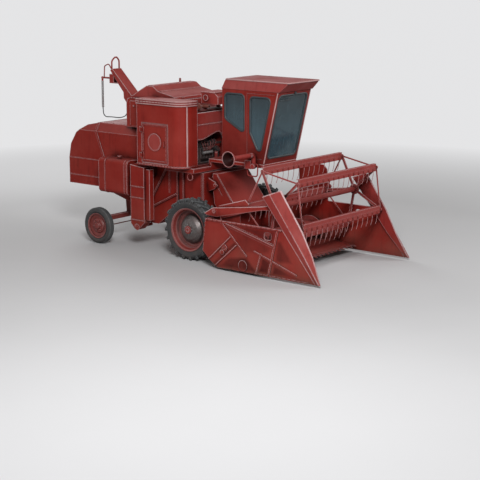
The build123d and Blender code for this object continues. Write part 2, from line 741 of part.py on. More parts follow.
def cab_profile(inset, low, top):
    """Side view (x, z) of the cab between two heights, inset from its outer faces."""
    rear = CAB_REAR + inset
    return [(rear, low), (cab_front(low, inset), low), (cab_front(top, inset), top), (rear, top)]


def cab_front(z, inset=0):
    share = (z - CAB_FLOOR) / (CAB_TOP - CAB_FLOOR)
    return CAB_FRONT_LOW + share * (CAB_FRONT_TOP - CAB_FRONT_LOW) - inset


DOOR_LOW = CAB_FLOOR + 110
DOOR_TOP = CAB_TOP - 70
DOOR_POST = 75  # front post beside the door


def door_outline(gap):
    return [
        (DOOR_REAR + gap, DOOR_LOW + gap),
        (cab_front(DOOR_LOW) - DOOR_POST - gap, DOOR_LOW + gap),
        (cab_front(DOOR_TOP) - DOOR_POST - gap, DOOR_TOP - gap),
        (DOOR_REAR + gap, DOOR_TOP - gap),
    ]


def door_window(gap=0):
    return [
        (DOOR_REAR + 80 + gap, 2880 + gap * 0.5),
        (1250, 2500 + gap * 1.2),
        (cab_front(2500) - DOOR_POST - 85 - gap, 2500 + gap * 1.2),
        (cab_front(DOOR_TOP - 70) - DOOR_POST - 85 - gap, DOOR_TOP - 70 - gap),
        (DOOR_REAR + 80 + gap, DOOR_TOP - 70 - gap),
    ]


def quarter_window(gap=0):
    return [
        (CAB_REAR + 75 + gap, 3150 + gap * 0.5),
        (780, 2905 + gap * 1.1),
        (DOOR_REAR - 90 - gap, 2905 + gap * 1.1),
        (DOOR_REAR - 90 - gap, DOOR_TOP - 30 - gap),
        (CAB_REAR + 75 + gap, DOOR_TOP - 30 - gap),
    ]


def pane_prism(outline, y0, y1, gap=0):
    """Window outline with rounded corners, carried across; the glass takes the same outline less a gap."""
    whole = side_prism(outline, y0, y1)
    return fillet(whole.edges().filter_by(Axis.Y), PANE_CORNER_R - gap)


SCREEN = [2330, 3740, 520]  # bottom, top and half width of the windscreen
REAR_WINDOW = [2900, 3700, 420]


def wall_side(side, inset=0):
    return CAB_Y + side * (CAB_HALF - inset)


def screen_cut(gap, depth0, depth1):
    """Slanted panel in the plane of the windscreen, between two depths behind its outer face."""
    low, top, half = SCREEN
    corners = [(low + gap, -half + gap), (low + gap, half - gap), (top - gap, half - gap), (top - gap, -half + gap)]
    face = make_face(Polyline(*[(cab_front(z), CAB_Y + y, z) for z, y in corners], close=True))
    face = fillet(face.vertices(), PANE_CORNER_R - gap)
    return Pos(-depth1, 0, 0) * extrude(face, amount=depth1 - depth0, dir=(1, 0, 0))


def cab_shell():
    outer = side_prism(cab_profile(0, CAB_FLOOR, CAB_TOP), wall_side(-1), wall_side(1))
    hollow = cab_profile(CAB_WALL, CAB_FLOOR + 50, CAB_TOP + 50)
    shell = outer - side_prism(hollow, wall_side(-1, CAB_WALL), wall_side(1, CAB_WALL))
    for side in SIDES.values():
        y0, y1 = wall_side(side, CAB_WALL + 5), wall_side(side, -5)
        opening = side_prism(door_outline(0), y0, y1) if side == DOOR_SIDE else pane_prism(door_window(), y0, y1)
        shell = shell - opening - pane_prism(quarter_window(), y0, y1)
    shell = shell - screen_cut(0, -100, CAB_WALL + 20)
    low, top, half = REAR_WINDOW
    shell = shell - block(CAB_REAR - 5, CAB_REAR + CAB_WALL + 5, CAB_Y - half, CAB_Y + half, low, top)
    for plane in door_planes():
        shell = shell + hinge(plane)[0]
    seam = wall_side(-DOOR_SIDE)
    for z in (DOOR_LOW, DOOR_TOP):
        x0, x1 = DOOR_REAR, cab_front(z) - DOOR_POST
        shell = shell + block(x0, x1, seam, seam - DOOR_SIDE * 6, z - 6, z + 6)
    return shell + block(DOOR_REAR - 6, DOOR_REAR + 6, seam, seam - DOOR_SIDE * 6, DOOR_LOW, DOOR_TOP)


def door_planes():
    y = wall_side(DOOR_SIDE, -HINGE_OFF)
    return [Plane(origin=(DOOR_REAR, y, z), x_dir=(1, 0, 0), z_dir=(0, 0, 1)) for z in (DOOR_LOW + 150, DOOR_TOP - 150)]


def cab_door():
    side = DOOR_SIDE
    y0, y1 = wall_side(side, CAB_WALL), wall_side(side)
    door = side_prism(door_outline(RUN), y0, y1) - pane_prism(door_window(), y0 - side * 5, y1 + side * 5)
    for plane in door_planes():
        door = door + hinge(plane)[1]
    (x0, z0), (x1, z1), out = (1330, 2430), (1360, 2600), y1 + side * 45
    return door + tube([(x0, y1, z0), (x0, out, z0), (x1, out, z1), (x1, y1, z1)], 9, [16, 16])


def side_pane(side, outline):
    middle = wall_side(side, CAB_WALL / 2)
    return pane_prism(outline, middle - GLASS_T / 2, middle + GLASS_T / 2, SEAT)


def cab_glass():
    panes = screen_cut(SEAT, CAB_WALL / 2 - GLASS_T / 2, CAB_WALL / 2 + GLASS_T / 2)
    panes = panes + side_pane(-DOOR_SIDE, door_window(SEAT))
    for side in SIDES.values():
        panes = panes + side_pane(side, quarter_window(SEAT))
    low, top, half = REAR_WINDOW
    middle = CAB_REAR + CAB_WALL / 2
    half, thick = half - SEAT, GLASS_T / 2
    return panes + block(middle - thick, middle + thick, CAB_Y - half, CAB_Y + half, low + SEAT, top - SEAT)


ROOF_VISOR = 270  # the roof's top reaches this far ahead of the windscreen's top
ROOF_ROUND = 28


def roof_outline(inset_rear, front, inset_side, z):
    y0, y1 = wall_side(-1, inset_side), wall_side(1, inset_side)
    x0 = CAB_REAR + inset_rear
    return make_face(Polyline((x0, y0, z), (front, y0, z), (front, y1, z), (x0, y1, z), close=True))


def cab_roof():
    """Roof slab with sloping sides and a visor over the windscreen."""
    low = roof_outline(-10, CAB_FRONT_TOP + 40, -10, CAB_TOP)
    high = roof_outline(70, CAB_FRONT_TOP + ROOF_VISOR, 40, CAB_TOP + ROOF_T)
    roof = loft([low, high], ruled=True)
    return fillet(roof.faces().sort_by(Axis.Z)[-1].edges(), ROOF_ROUND)


def seat():
    floor = CAB_FLOOR + 50
    post = block(600, 800, CAB_Y - 120, CAB_Y + 120, floor, floor + 330)
    cushion = block(480, 940, CAB_Y - 240, CAB_Y + 240, floor + 330, floor + 430)
    back = block(420, 500, CAB_Y - 230, CAB_Y + 230, floor + 440, floor + 880)
    link = block(420, 500, CAB_Y - 60, CAB_Y + 60, floor + 330, floor + 440)
    return post + cushion + back + link


def steering_column():
    floor = CAB_FLOOR + 50
    top = (1060, CAB_Y, floor + 720)
    foot = block(1220, 1340, CAB_Y - 60, CAB_Y + 60, floor, floor + 30)
    column = round_bar((1280, CAB_Y, floor + 20), top, 30) + foot
    axis = Vector(-220, 0, 700).normalized()
    plane = Plane(origin=top, z_dir=axis)
    wheel = plane * Torus(200, 16)
    spokes = plane * (Box(390, 24, 12) + Box(24, 390, 12))
    return column + wheel + spokes


# Parts hung on the body's right side


FUEL_TANK = [-2970, -2030, -1240, 1220, 2040]  # rear, front, outer side, bottom, top
FUEL_ROUND = 110
FUEL_STRAPS = [-2760, -2130, -2050]
FUEL_BRACKETS = [-2760, -2095]


def fuel_tank():
    rear, front, out, low, top = FUEL_TANK
    inner = -UPPER_HALF - 6
    shape = block(rear, front, out, inner, low, top)
    shape = fillet(shape.edges().filter_by(Axis.X).sort_by(Axis.Y)[:2], FUEL_ROUND)
    for x in FUEL_STRAPS:
        band = block(x - 15, x + 15, out - 6, inner, low - 6, top + 6)
        shape = shape + fillet(band.edges().filter_by(Axis.X).sort_by(Axis.Y)[:2], FUEL_ROUND)
    for x in FUEL_BRACKETS:
        for z in (low + 120, top - 180):
            shape = shape + block(x - 40, x + 40, inner, -BODY_HALF, z - 40, z + 40)
    neck = round_bar((rear + 520, out + 190, top), (rear + 520, out + 190, top + 40), 38)
    cap = round_bar((rear + 520, out + 190, top + 40), (rear + 520, out + 190, top + 70), 52)
    return shape + neck + cap


ELEVATOR = [-1930, -1500, -1240, -1010]  # rear, front, outer side, inner side
ELEVATOR_SEAMS = [1470, 1210, 680]


def grain_elevator():
    rear, front, out, inner = ELEVATOR
    low = 460
    points = [(rear, low + 130), (rear + 130, low), (front - 190, low), (front, low + 180), (front, 1940), (rear, 1980)]
    leg = side_prism(points, out, inner)
    for z in ELEVATOR_SEAMS:
        leg = leg + block(rear - BEAD, front + BEAD, out - BEAD, inner, z - 12, z + 12)
    leg = leg + block(front, front + 130, out + 50, inner - 40, 700, 1900)
    x, z = rear + 205, low + 60
    foot = cross_pin(x, z, out - 15, -BODY_HALF, 34) + cross_pin(x, z, out - 12, out, 75)
    top = block(rear + 30, front - 60, inner, -BODY_HALF, 1700, 1900)
    return leg + foot + top


# Posts and braces beside the body: lower and upper end as (x, z)
STRUTS = [
    ((-1770, 1000), (-1210, 1900)),
    ((-1700, 930), (-900, 1330)),
    ((-870, 870), (-870, 1900)),
    ((-690, 870), (-690, 1900)),
    ((-120, 870), (-120, 1900)),
]


def struts():
    """Posts and braces between the axle and the deck's right edge."""
    y = -BODY_HALF - 20
    parts = None
    for (x0, z0), (x1, z1) in STRUTS:
        bar = flat_bar((x0, y, z0), (x1, y, z1), 40, 40)
        parts = bar if parts is None else parts + bar
    return parts


def ladder():
    """Ladder behind the left drive wheel, up to the landing."""
    y0, y1 = DECK_LEFT, DECK_LEFT + 50
    x0, x1 = LADDER_REAR, LADDER_REAR + LADDER_WIDE
    rails = None
    for x in (x0, x1):
        rail = block(x - 20, x + 20, y0, y1, LADDER_FOOT, DECK_TOP)
        rails = rail if rails is None else rails + rail
    steps = 5
    rise = (DECK_TOP - LADDER_FOOT) / steps
    for step in range(steps):
        z = LADDER_FOOT + 30 + step * rise
        rails = rails + block(x0, x1, y0 - 60, y1 + 40, z, z + 30)
    return rails


# Axles and wheels


def main_axle():
    half = AXLE_BEAM / 2
    inner = DRIVE_OUT - DRIVE_W
    beam = block(-half, half, -inner + 100, inner - 100, DRIVE_R - half, DRIVE_R + half)
    for side in SIDES.values():
        gear = cross_pin(0, DRIVE_R, side * (inner - 240), side * (inner - 30), FINAL_DRIVE_R)
        spindle = cross_pin(0, DRIVE_R, side * (inner - 40), side * (DRIVE_Y + 60), SPINDLE_R)
        beam = beam + gear + spindle
        beam = beam + block(-half - 60, half, side * 540, side * 660, DRIVE_R, BODY_FLOOR)
        for way in (-1, 1):
            y = side * CYL_Y + way * CYL_EAR_Y
            ear = [(CYL_REAR[0] - 40, CYL_REAR[1] - 40), (CYL_REAR[0] + 40, CYL_REAR[1] - 40)]
            ear += [(CYL_REAR[0] + 40, CYL_REAR[1] + 40), (half, DRIVE_R), (0, DRIVE_R), (0, DRIVE_R - half)]
            beam = beam + side_prism(ear, y - CYL_EAR_T / 2, y + CYL_EAR_T / 2)
    return cylinder_trunnions(beam)


def rim_profile(width, seat_r, lip):
    """Outer outline of the rim as (radius, y) with y from the inner to the outer side of the wheel."""
    half = width / 2
    return [
        (seat_r + lip, -half + 10),
        (seat_r + lip, -half + 22),
        (seat_r, -half + 30),
        (seat_r - 30, -half + 110),
        (seat_r - 30, half - 110),
        (seat_r, half - 30),
        (seat_r + lip, half - 22),
        (seat_r + lip, half - 10),
    ]


def drive_rim(side):
    t = 14
    half = DRIVE_W / 2
    seat_r, lip = DRIVE_RIM_R, 24
    bore = SPINDLE_R + FIT
    points = rim_profile(DRIVE_W, seat_r, lip)
    points += [
        (seat_r - t, half - 30),
        (seat_r - 30 - t, half - 110),
        (seat_r - 30 - t, 10),
        (350, -20),
        (325, 0),
        (300, 60),
        (230, 120),
        (130, 152),
        (90, 158),
        (90, 182),
        (50, 186),
        (0, 186),
        (0, 80),
        (bore, 80),
        (bore, -150),
        (110, -150),
        (110, -60),
        (330, -60),
        (seat_r - 30 - t, -40),
        (seat_r - 30 - t, -half + 110),
        (seat_r - t, -half + 30),
    ]
    return mirrored(side, turned([(r, y + DRIVE_Y) for r, y in points], 0, DRIVE_R))


def tread_bar():
    """One bar of the tread at the wheel's top, from the shoulder to past the middle, with the axis at z = 0."""
    half = DRIVE_W / 2
    back = (LUG_LEAD + LUG_WIDE) / 2
    outer, inner = half - 4, -6
    plan = [(0, outer), (LUG_WIDE + 12, outer), (LUG_WIDE + 12, half - 45)]
    plan += [(LUG_LEAD + LUG_WIDE, inner), (LUG_LEAD, inner), (0, half - 45)]
    bar = plan_prism([(x - back, y) for x, y in plan], DRIVE_R - SHOULDER_DROP - 20, DRIVE_R + 5)
    section = [(inner, DRIVE_R - LUG - 30), (inner, DRIVE_R + 5), (half - 26, DRIVE_R + 5)]
    section += [(outer, DRIVE_R - 24), (outer, DRIVE_R - SHOULDER_DROP - 15), (half - 30, DRIVE_R - SHOULDER_DROP - 15)]
    bar = bar & front_prism(section, -LUG_LEAD, LUG_LEAD)
    return bar & cross_pin(0, 0, -half, half, DRIVE_R)


def drive_tyre():
    """Tyre as drawn for the left."""
    half = DRIVE_W / 2
    seat_r = DRIVE_RIM_R + SEAT
    flank = [(seat_r - 30, half - 112), (seat_r, half - 34), (seat_r + 70, half - 10), (seat_r + 120, half)]
    flank += [(DRIVE_R - SHOULDER_DROP, half - 4), (DRIVE_R - LUG, half - 55)]
    carcass = turned(flank + [(r, -y) for r, y in flank[::-1]], 0, 0)
    bar = tread_bar()
    other = mirror(bar, about=Plane.XZ)
    pitch = 360 / LUGS
    bars = [Rot(0, i * pitch, 0) * bar for i in range(LUGS)]
    bars += [Rot(0, (i + 0.5) * pitch, 0) * other for i in range(LUGS)]
    return Pos(0, DRIVE_Y, DRIVE_R) * carcass.fuse(*bars)


def rear_floor(x):
    """Height of the body's slanted floor over the rear axle."""
    (x0, z0), (x1, z1) = REAR_FLOOR
    return z0 + (x - x0) / (x1 - x0) * (z1 - z0)


def steer_axle():
    half = STEER_BEAM / 2
    low = STEER_R + 80
    top = low + STEER_BEAM
    beam = block(STEER_X - half, STEER_X + half, -KINGPIN_Y, KINGPIN_Y, low, top)
    for side in SIDES.values():
        y = side * KINGPIN_Y
        beam = beam + round_bar((STEER_X, y, low), (STEER_X, y, top), KNUCKLE_R + 12)
        beam = beam + round_bar((STEER_X, y, 285), (STEER_X, y, low + 1), KINGPIN_R)
    for y in (-320, 320):
        feet = [(x, rear_floor(x) - SEAT) for x in (STEER_X + 260, STEER_X - 100)]
        beam = beam + side_prism([*feet, (STEER_X - 50, low + 20), (STEER_X + 50, low + 20)], y - 10, y + 10)
    hitch = block(STEER_X - 330, STEER_X, -70, 70, low + 20, low + 45)
    return beam + hitch - round_bar((STEER_X - 280, 0, low), (STEER_X - 280, 0, low + 100), 16)


KNUCKLE_LOW = 330
KNUCKLE_TOP = STEER_R + 80 - 1
TIE_Z = 360
TIE_T = 30


def knuckle(side):
    bore = KINGPIN_R + FIT
    wall = [(bore, KNUCKLE_LOW), (KNUCKLE_R, KNUCKLE_LOW), (KNUCKLE_R, KNUCKLE_TOP), (bore, KNUCKLE_TOP)]
    barrel = upright_turned(wall, STEER_X, KINGPIN_Y)
    root = KINGPIN_Y + KNUCKLE_R
    spindle = cross_pin(STEER_X, STEER_R, root - 14, STEER_Y + 50, STEER_SPINDLE_R)
    flange = cross_pin(STEER_X, STEER_R, root - 14, root + 14, 60)
    x, low = STEER_X - STEER_ARM, TIE_Z - 15
    arm = block(x - 22, STEER_X - KNUCKLE_R + 8, KINGPIN_Y - 22, KINGPIN_Y + 22, low, TIE_Z + 15)
    pin = round_bar((x, KINGPIN_Y, low - TIE_T - 6), (x, KINGPIN_Y, TIE_Z), TIE_PIN_R)
    return mirrored(side, barrel + spindle + flange + arm + pin)


def tie_rod():
    x = STEER_X - STEER_ARM
    z = TIE_Z - 15 - 1 - TIE_T / 2
    low, top = z - TIE_T / 2, z + TIE_T / 2
    rod = cross_pin(x, z, -KINGPIN_Y + 20, KINGPIN_Y - 20, TIE_ROD_R)
    for side in SIDES.values():
        y = side * KINGPIN_Y
        eye = round_bar((x, y, low), (x, y, top), 30)
        rod = rod + eye - round_bar((x, y, low - 20), (x, y, top + 20), TIE_PIN_R + FIT)
    return rod


def steer_rim(side):
    t = 10
    half = STEER_W / 2
    seat_r, lip = STEER_RIM_R, 18
    bore = STEER_SPINDLE_R + FIT
    points = [
        (seat_r + lip, -half + 18),
        (seat_r + lip, -half + 28),
        (seat_r, -half + 34),
        (seat_r, half - 34),
        (seat_r + lip, half - 28),
        (seat_r + lip, half - 18),
        (seat_r - t, half - 28),
        (seat_r - t, 40),
        (190, 20),
        (160, 50),
        (90, 60),
        (70, 95),
        (0, 95),
        (0, 60),
        (bore, 60),
        (bore, -85),
        (60, -85),
        (60, -10),
        (170, 0),
        (seat_r - t, 10),
        (seat_r - t, -half + 28),
    ]
    return mirrored(side, turned([(r, y + STEER_Y) for r, y in points], STEER_X, STEER_R))


def steer_tyre(side):
    half = STEER_W / 2
    bead = STEER_RIM_R + SEAT
    flank = [(bead, half - 38), (bead + 22, half - 32), (bead + 45, half - 8), (bead + 80, half)]
    flank += [(STEER_R - 40, half - 8), (STEER_R, half - 40)]
    points = flank + [(r, -y) for r, y in flank[::-1]]
    return mirrored(side, turned([(r, y + STEER_Y) for r, y in points], STEER_X, STEER_R))


# Header


FEEDER_SEAMS = [((5, 1800), (290, 1390)), ((150, 1835), (560, 1290))]  # flanges down each side


def feeder_house():
    front = BACK_X - SEAT
    points = [(0, 1640), (20, 1880), (140, 1880), (680, 1180), (front, BACK_TOP + 5), (front, FEEDER_LOW)]
    house = side_prism(points + [(620, FEEDER_LOW + 20), (60, 1180)], -FEEDER_HALF, FEEDER_HALF)
    for a, b in FEEDER_SEAMS:
        house = house + strip(a, b, 26, -FEEDER_HALF - 6, FEEDER_HALF + 6)
    house = house + block(front - 60, front, -FEEDER_HALF - 40, FEEDER_HALF + 40, FEEDER_LOW + 30, FEEDER_LOW + 70)
    house = house - cross_pin(LIFT_X, LIFT_Z, -FEEDER_HALF - 7, FEEDER_HALF + 7, LIFT_PIN_R + FIT)
    house = house - block(front - 200, front + 1, -FEEDER_HALF + 30, FEEDER_HALF - 30, FEEDER_LOW + 60, 1020)
    x, z = CYL_FRONT
    for side in SIDES.values():
        for way in (-1, 1):
            y = side * CYL_Y + way * CYL_EAR_Y
            ear = [(x - 30, z - 30), (x + 30, z - 30), (x + 60, FEEDER_LOW + 15), (x - 60, FEEDER_LOW + 30)]
            house = house + side_prism(ear, y - CYL_EAR_T / 2, y + CYL_EAR_T / 2)
        house = house + cross_pin(x, z, side * CYL_Y - CYL_EAR_Y, side * CYL_Y + CYL_EAR_Y, 12)
    return house


def lift_shaft():
    """Shaft and cheeks that carry the feeder house on the body."""
    shaft = cross_pin(LIFT_X, LIFT_Z, -FEEDER_HALF - 60, FEEDER_HALF + 60, LIFT_PIN_R)
    cheek = [(BODY_FRONT, 1450), (LIFT_X, 1540), (LIFT_X + 80, LIFT_Z), (LIFT_X, 1700), (BODY_FRONT, 1780)]
    for side in SIDES.values():
        shaft = shaft + side_prism(cheek, side * (FEEDER_HALF + 12), side * (FEEDER_HALF + 50))
    return shaft


BACK_RIBS = [700, 1000, 1300, 1600]  # from the middle, behind the back sheet
SKIDS = [900, 1500]


def header_trough():
    """Back sheet and floor in one fold, with a beam along the back's top, ribs behind and skids below."""
    line = [(BACK_X, BACK_TOP), (BACK_X, 520), (900, 290), (1130, 185), (1500, 175), (1700, 230)]
    inner = [(BACK_X + SHEET, BACK_TOP), (BACK_X + SHEET, 524), (907, 300), (1132, 197), (1497, 187), (1698, 242)]
    line.append((KNIFE_X - 60, KNIFE_Z + 10))
    inner.append((KNIFE_X - 60, KNIFE_Z + 22))
    half = HEADER_HALF - END_SHEET
    trough = side_prism(line + inner[::-1], -half, half)
    mouth = FEEDER_HALF - 30
    trough = trough - block(BACK_X - 5, BACK_X + SHEET + 5, -mouth, mouth, FEEDER_LOW + 60, 1020)
    trough = trough + block(BACK_X + SHEET, BACK_X + SHEET + 70, -half, half, BACK_TOP - 70, BACK_TOP)
    for side in SIDES.values():
        for y in BACK_RIBS:
            rear = BACK_X - 30
            rib = [(BACK_X, BACK_TOP), (rear, BACK_TOP), (rear, 520), (890, 270), (900, 290), (BACK_X, 520)]
            trough = trough + side_prism(rib, side * y - 20, side * y + 20)
        for y in SKIDS:
            shoe = [(1130, 185), (1180, 70), (1640, 70), (1700, 230), (1500, 175)]
            trough = trough + side_prism(shoe, side * y - 60, side * y + 60)
    return trough


def snout_line(z):
    """Where the snout's rear edge stands at a height."""
    share = (SNOUT_HIGH[1] - z) / (SNOUT_HIGH[1] - SNOUT_LOW[1])
    return SNOUT_HIGH[0] + share * (SNOUT_LOW[0] - SNOUT_HIGH[0])


# Ribs on the outer face of an end sheet: ends as (x, z), width, how far it stands proud
END_RIBS = [
    ((1230, 1090), (1950, 410), 36, 14),
    ((1230, 1090), (2680, 730), 90, 8),
    ((1230, 1098), (2680, 738), 26, 20),
    ((1510, 790), (880, 210), 22, 24),
    ((1680, 630), (1050, 80), 22, 24),
    ((2790, 1115), (2540, 60), 44, 16),
    ((2150, 560), (3290, 190), 34, 12),
    ((2340, 530), (2200, 60), 30, 12),
    ((2170, 75), (3600, 75), 30, 12),
    ((800, 1095), (2880, 1095), 34, 18),
]
END_BOSSES = [(1280, 420, 58, 34), (1850, 200, 120, 26), (AUGER_X, AUGER_Z, 80, 18)]  # x, z, radius, proud
END_HOLE = [2420, 2600, 850, 1010]  # rear, front, bottom, top


def end_sheet(side):
    top = BACK_TOP
    front = [(snout_line(z) - SEAT * 1.5, z) for z in (SNOUT_LOW[1], top)]
    outline = [(BACK_X - 10, top), (700, 380), (940, 170), (1120, 60), *front]
    y0, y1 = HEADER_HALF - END_SHEET, HEADER_HALF
    sheet = side_prism(outline, y0, y1)
    ribs = [strip(a, b, wide, y1 - 1, y1 + proud) for a, b, wide, proud in END_RIBS]
    ribs += [cross_pin(x, z, y1 - 1, y1 + proud, radius) for x, z, radius, proud in END_BOSSES]
    for rib in ribs:
        sheet = sheet + (rib & side_prism(outline, y1 - 1, y1 + 50))
    rear, fore, low, high = END_HOLE
    hole = block(rear, fore, y0 - 1, y1 + 50, low, high)
    sheet = sheet - fillet(hole.edges().filter_by(Axis.Y), 45)
    sheet = sheet - cross_pin(AUGER_X, AUGER_Z, y0 - 1, y1 + 50, AUGER_SHAFT_R + FIT)
    cheek_y1 = ARM_Y - ARM_T / 2 - 8
    cheek_y0 = cheek_y1 - 25
    rear, fore = BACK_X + SHEET + 70 + SEAT, 1060
    bracket = block(rear, fore, cheek_y0, y0, top - 60, top - 35)
    cheek = [(rear, top - 60), (fore, top - 60), (ARM_X + 50, ARM_Z + 50), (ARM_X - 50, ARM_Z + 50)]
    bracket = bracket + side_prism([*cheek, (ARM_X - 50, top + 10), (rear, top + 10)], cheek_y0, cheek_y1)
    bracket = bracket + cross_pin(ARM_X, ARM_Z, cheek_y0, ARM_Y + ARM_T / 2 + 10, ARM_PIN_R)
    sheet = sheet + bracket
    if side > 0:
        shield = [(BACK_X, top - 5), (BACK_X, 1960), (1500, 1960), (1600, 1860), (1640, top - 5)]
        sheet = sheet + side_prism(shield, y0, y0 + SHEET)
    return mirrored(side, sheet)


# Sections of the snout: height, then x of its rear edge, outer ridge and inner front edge, and y of the inner side
SNOUT = [
    (2000, 2161, 2444, 2712, HEADER_HALF - SNOUT_WIDE),
    (1110, 2899, 3120, 3340, HEADER_HALF - SNOUT_WIDE),
    (600, 3322, 3500, 3610, HEADER_HALF - SNOUT_WIDE),
    (SNOUT_LOW[1], SNOUT_LOW[0], FRONT_TIP - 8, FRONT_TIP, HEADER_HALF - 30),
]
SNOUT_CUT = 0.39  # slope of the snout's top


def divider(side):
    """Folded snout from above the knife down to the tip."""
    out, ridge = HEADER_HALF, HEADER_HALF + SNOUT_PROUD
    faces = []
    for z, rear, fold, front, inner in SNOUT:
        corners = [(rear, out, z), (fold, ridge, z), (front, inner, z), (rear + 20, inner, z)]
        faces.append(make_face(Polyline(*corners, close=True)))
    snout = loft(faces[::-1], ruled=True)
    high = SNOUT[0][0] + 10
    (x0, x1), (x, z) = (SNOUT_HIGH[0] - 300, SNOUT_HIGH[0] + 500), SNOUT_HIGH
    top = [(x0, z + SNOUT_CUT * (x0 - x)), (x1, z + SNOUT_CUT * (x1 - x)), (x1, high + 50), (x0, high + 50)]
    return mirrored(side, snout - side_prism(top, out - SNOUT_WIDE - 10, ridge + 10))


KNIFE_PITCH = 76.2  # one blade section
KNIFE_T = 5


def cutterbar():
    """Bar with its guards, and the knife's blades in one row above it."""
    half = HEADER_HALF - END_SHEET - SEAT
    tip = KNIFE_X + GUARD_LONG
    count = int(2 * half / GUARD_PITCH)
    guards = []
    for i in range(count):
        y = (i - (count - 1) / 2) * GUARD_PITCH
        guard = [(KNIFE_X - 5, y - 26), (tip, y - 4), (tip, y + 4), (KNIFE_X - 5, y + 26)]
        guards.append(plan_prism(guard, KNIFE_Z, KNIFE_Z + 22))
    blades = int(2 * half / KNIFE_PITCH)
    edge = blades * KNIFE_PITCH / 2
    heel, point = KNIFE_X + 8, KNIFE_X + 80
    teeth = [(KNIFE_X - 40, edge), (KNIFE_X - 40, -edge)]
    for i in range(blades):
        y, middle = -edge + i * KNIFE_PITCH, -edge + (i + 0.5) * KNIFE_PITCH
        teeth += [(heel, y + 4), (point, middle - 8), (point, middle + 8), (heel, y + KNIFE_PITCH - 4)]
    bar = block(KNIFE_X - 60 + SEAT, KNIFE_X, -half, half, KNIFE_Z, KNIFE_Z + 25)
    return bar.fuse(*guards, plan_prism(teeth, KNIFE_Z + 22, KNIFE_Z + 25 + KNIFE_T))


def flight(side, half):
    """Screw blade on one side of the auger, wound so that both sides carry towards the middle."""
    deep = AUGER_R - AUGER_TUBE_R + 8
    start = Plane(origin=(0, FLIGHT_INNER, 0), x_dir=(1, 0, 0), z_dir=(0, 1, 0))
    blade = start * Pos((AUGER_TUBE_R + AUGER_R) / 2 - 4, 0) * Rectangle(deep, FLIGHT_T)
    long = half - 60 - FLIGHT_INNER
    screw = Solid.extrude_linear_with_rotation(
        blade.face(), center=(0, FLIGHT_INNER, 0), normal=(0, long, 0), angle=FLIGHT_TURN
    )
    return Pos(AUGER_X, 0, AUGER_Z) * mirrored(side, screw)


def header_auger():
    half = HEADER_HALF - END_SHEET
    auger = cross_pin(AUGER_X, AUGER_Z, -half + 40, half - 40, AUGER_TUBE_R)
    auger = auger + cross_pin(AUGER_X, AUGER_Z, -HEADER_HALF - 8, HEADER_HALF + 8, AUGER_SHAFT_R)
    for side in SIDES.values():
        auger = auger + flight(side, half)
    for i in range(FINGERS):
        turn = math.radians(i * 150)
        y = (i - (FINGERS - 1) / 2) * 2 * (FLIGHT_INNER - 60) / FINGERS
        way = Vector(math.cos(turn), 0, math.sin(turn))
        start = Vector(AUGER_X, y, AUGER_Z) + way * (AUGER_TUBE_R - 20)
        auger = auger + Solid.make_cylinder(8, AUGER_R - AUGER_TUBE_R + 10, Plane(origin=start, z_dir=way))
    return auger


# Reel


def bat_places():
    """Angle and place of each bat's pin about the reel shaft."""
    for i in range(BATS):
        turn = math.radians(BAT_TURN + i * 360 / BATS)
        yield REEL_X + REEL_R * math.cos(turn), REEL_Z + REEL_R * math.sin(turn)


# Side view of a tine below its bat: from the board's foot, bent back at the tip
TINE_LINE = [(0, 60), (0, -60), (-14, -150), (-44, -235)]


def reel_bat():
    """Bat with its tines, drawn about its pin's axis."""
    foot, top = -BAT_HIGH / 2, BAT_HIGH / 2
    board = block(-BAT_T / 2, BAT_T / 2, -BAT_HALF, BAT_HALF, foot, top)
    board = board + block(-BAT_FLANGE, BAT_T / 2, -BAT_HALF, BAT_HALF, top - 10, top)
    board = board + block(-BAT_FLANGE / 2, BAT_T / 2, -BAT_HALF, BAT_HALF, foot, foot + 10)
    front = [(BAT_T / 2 - 2 + x, foot + z) for x, z in TINE_LINE]
    back = [(x + TINE_T, z) for x, z in front]
    tines = []
    for i in range(TINES):
        y = (i - (TINES - 1) / 2) * TINE_PITCH
        tines.append(side_prism(front + back[::-1], y - TINE_T / 2, y + TINE_T / 2))
    return board.fuse(*tines, cross_pin(0, 0, -SPIDER_Y - 30, SPIDER_Y + 30, BAT_PIN_R))


def reel_spider():
    """Tube with a spider at each end: spokes with a web and two flanges, and links from bat to bat."""
    reel = cross_pin(REEL_X, REEL_Z, -SPIDER_Y, SPIDER_Y, REEL_TUBE_R)
    end = ARM_Y + ARM_T / 2 + 8
    bars = [cross_pin(REEL_X, REEL_Z, -end, end, REEL_SHAFT_R)]
    holes = []
    places = list(bat_places())
    for side in SIDES.values():
        y = side * SPIDER_Y
        inner, outer = y - SPIDER_T / 2, y + SPIDER_T / 2
        bars.append(cross_pin(REEL_X, REEL_Z, y - 9, y + 9, 120))
        for x, z in places:
            bars.append(flat_bar((REEL_X, y, REEL_Z), (x, y, z), 10, 54))
            turn = math.atan2(z - REEL_Z, x - REEL_X)
            for way in (-24, 24):
                dx, dz = -way * math.sin(turn), way * math.cos(turn)
                bars.append(flat_bar((REEL_X + dx, y, REEL_Z + dz), (x + dx, y, z + dz), SPIDER_T, 9))
            bars.append(cross_pin(x, z, inner, outer, 40))
            holes.append(cross_pin(x, z, y - SPIDER_T, y + SPIDER_T, BAT_PIN_R + FIT))
        for a, b in zip(places, places[1:] + places[:1]):
            bars.append(strip(a, b, 34, y - 5, y + 5))
    return reel.fuse(*bars).cut(*holes)


# Side view of a reel arm, from its rear end under the pivot to the reel shaft
ARM_OUTLINE = [(620, 1185), (700, 1150), (960, 1135), (2240, 1430), (REEL_X + 50, 1465), (REEL_X + 75, 1500)]
ARM_OUTLINE += [(REEL_X + 75, 1560), (REEL_X - 20, 1580), (2240, 1512), (900, 1335), (850, 1325)]
ARM_GUSSET = [(930, 1320), (990, 1380), (1750, 1600), (1860, 1510), (1800, 1420)]
ARM_PLATE = 12


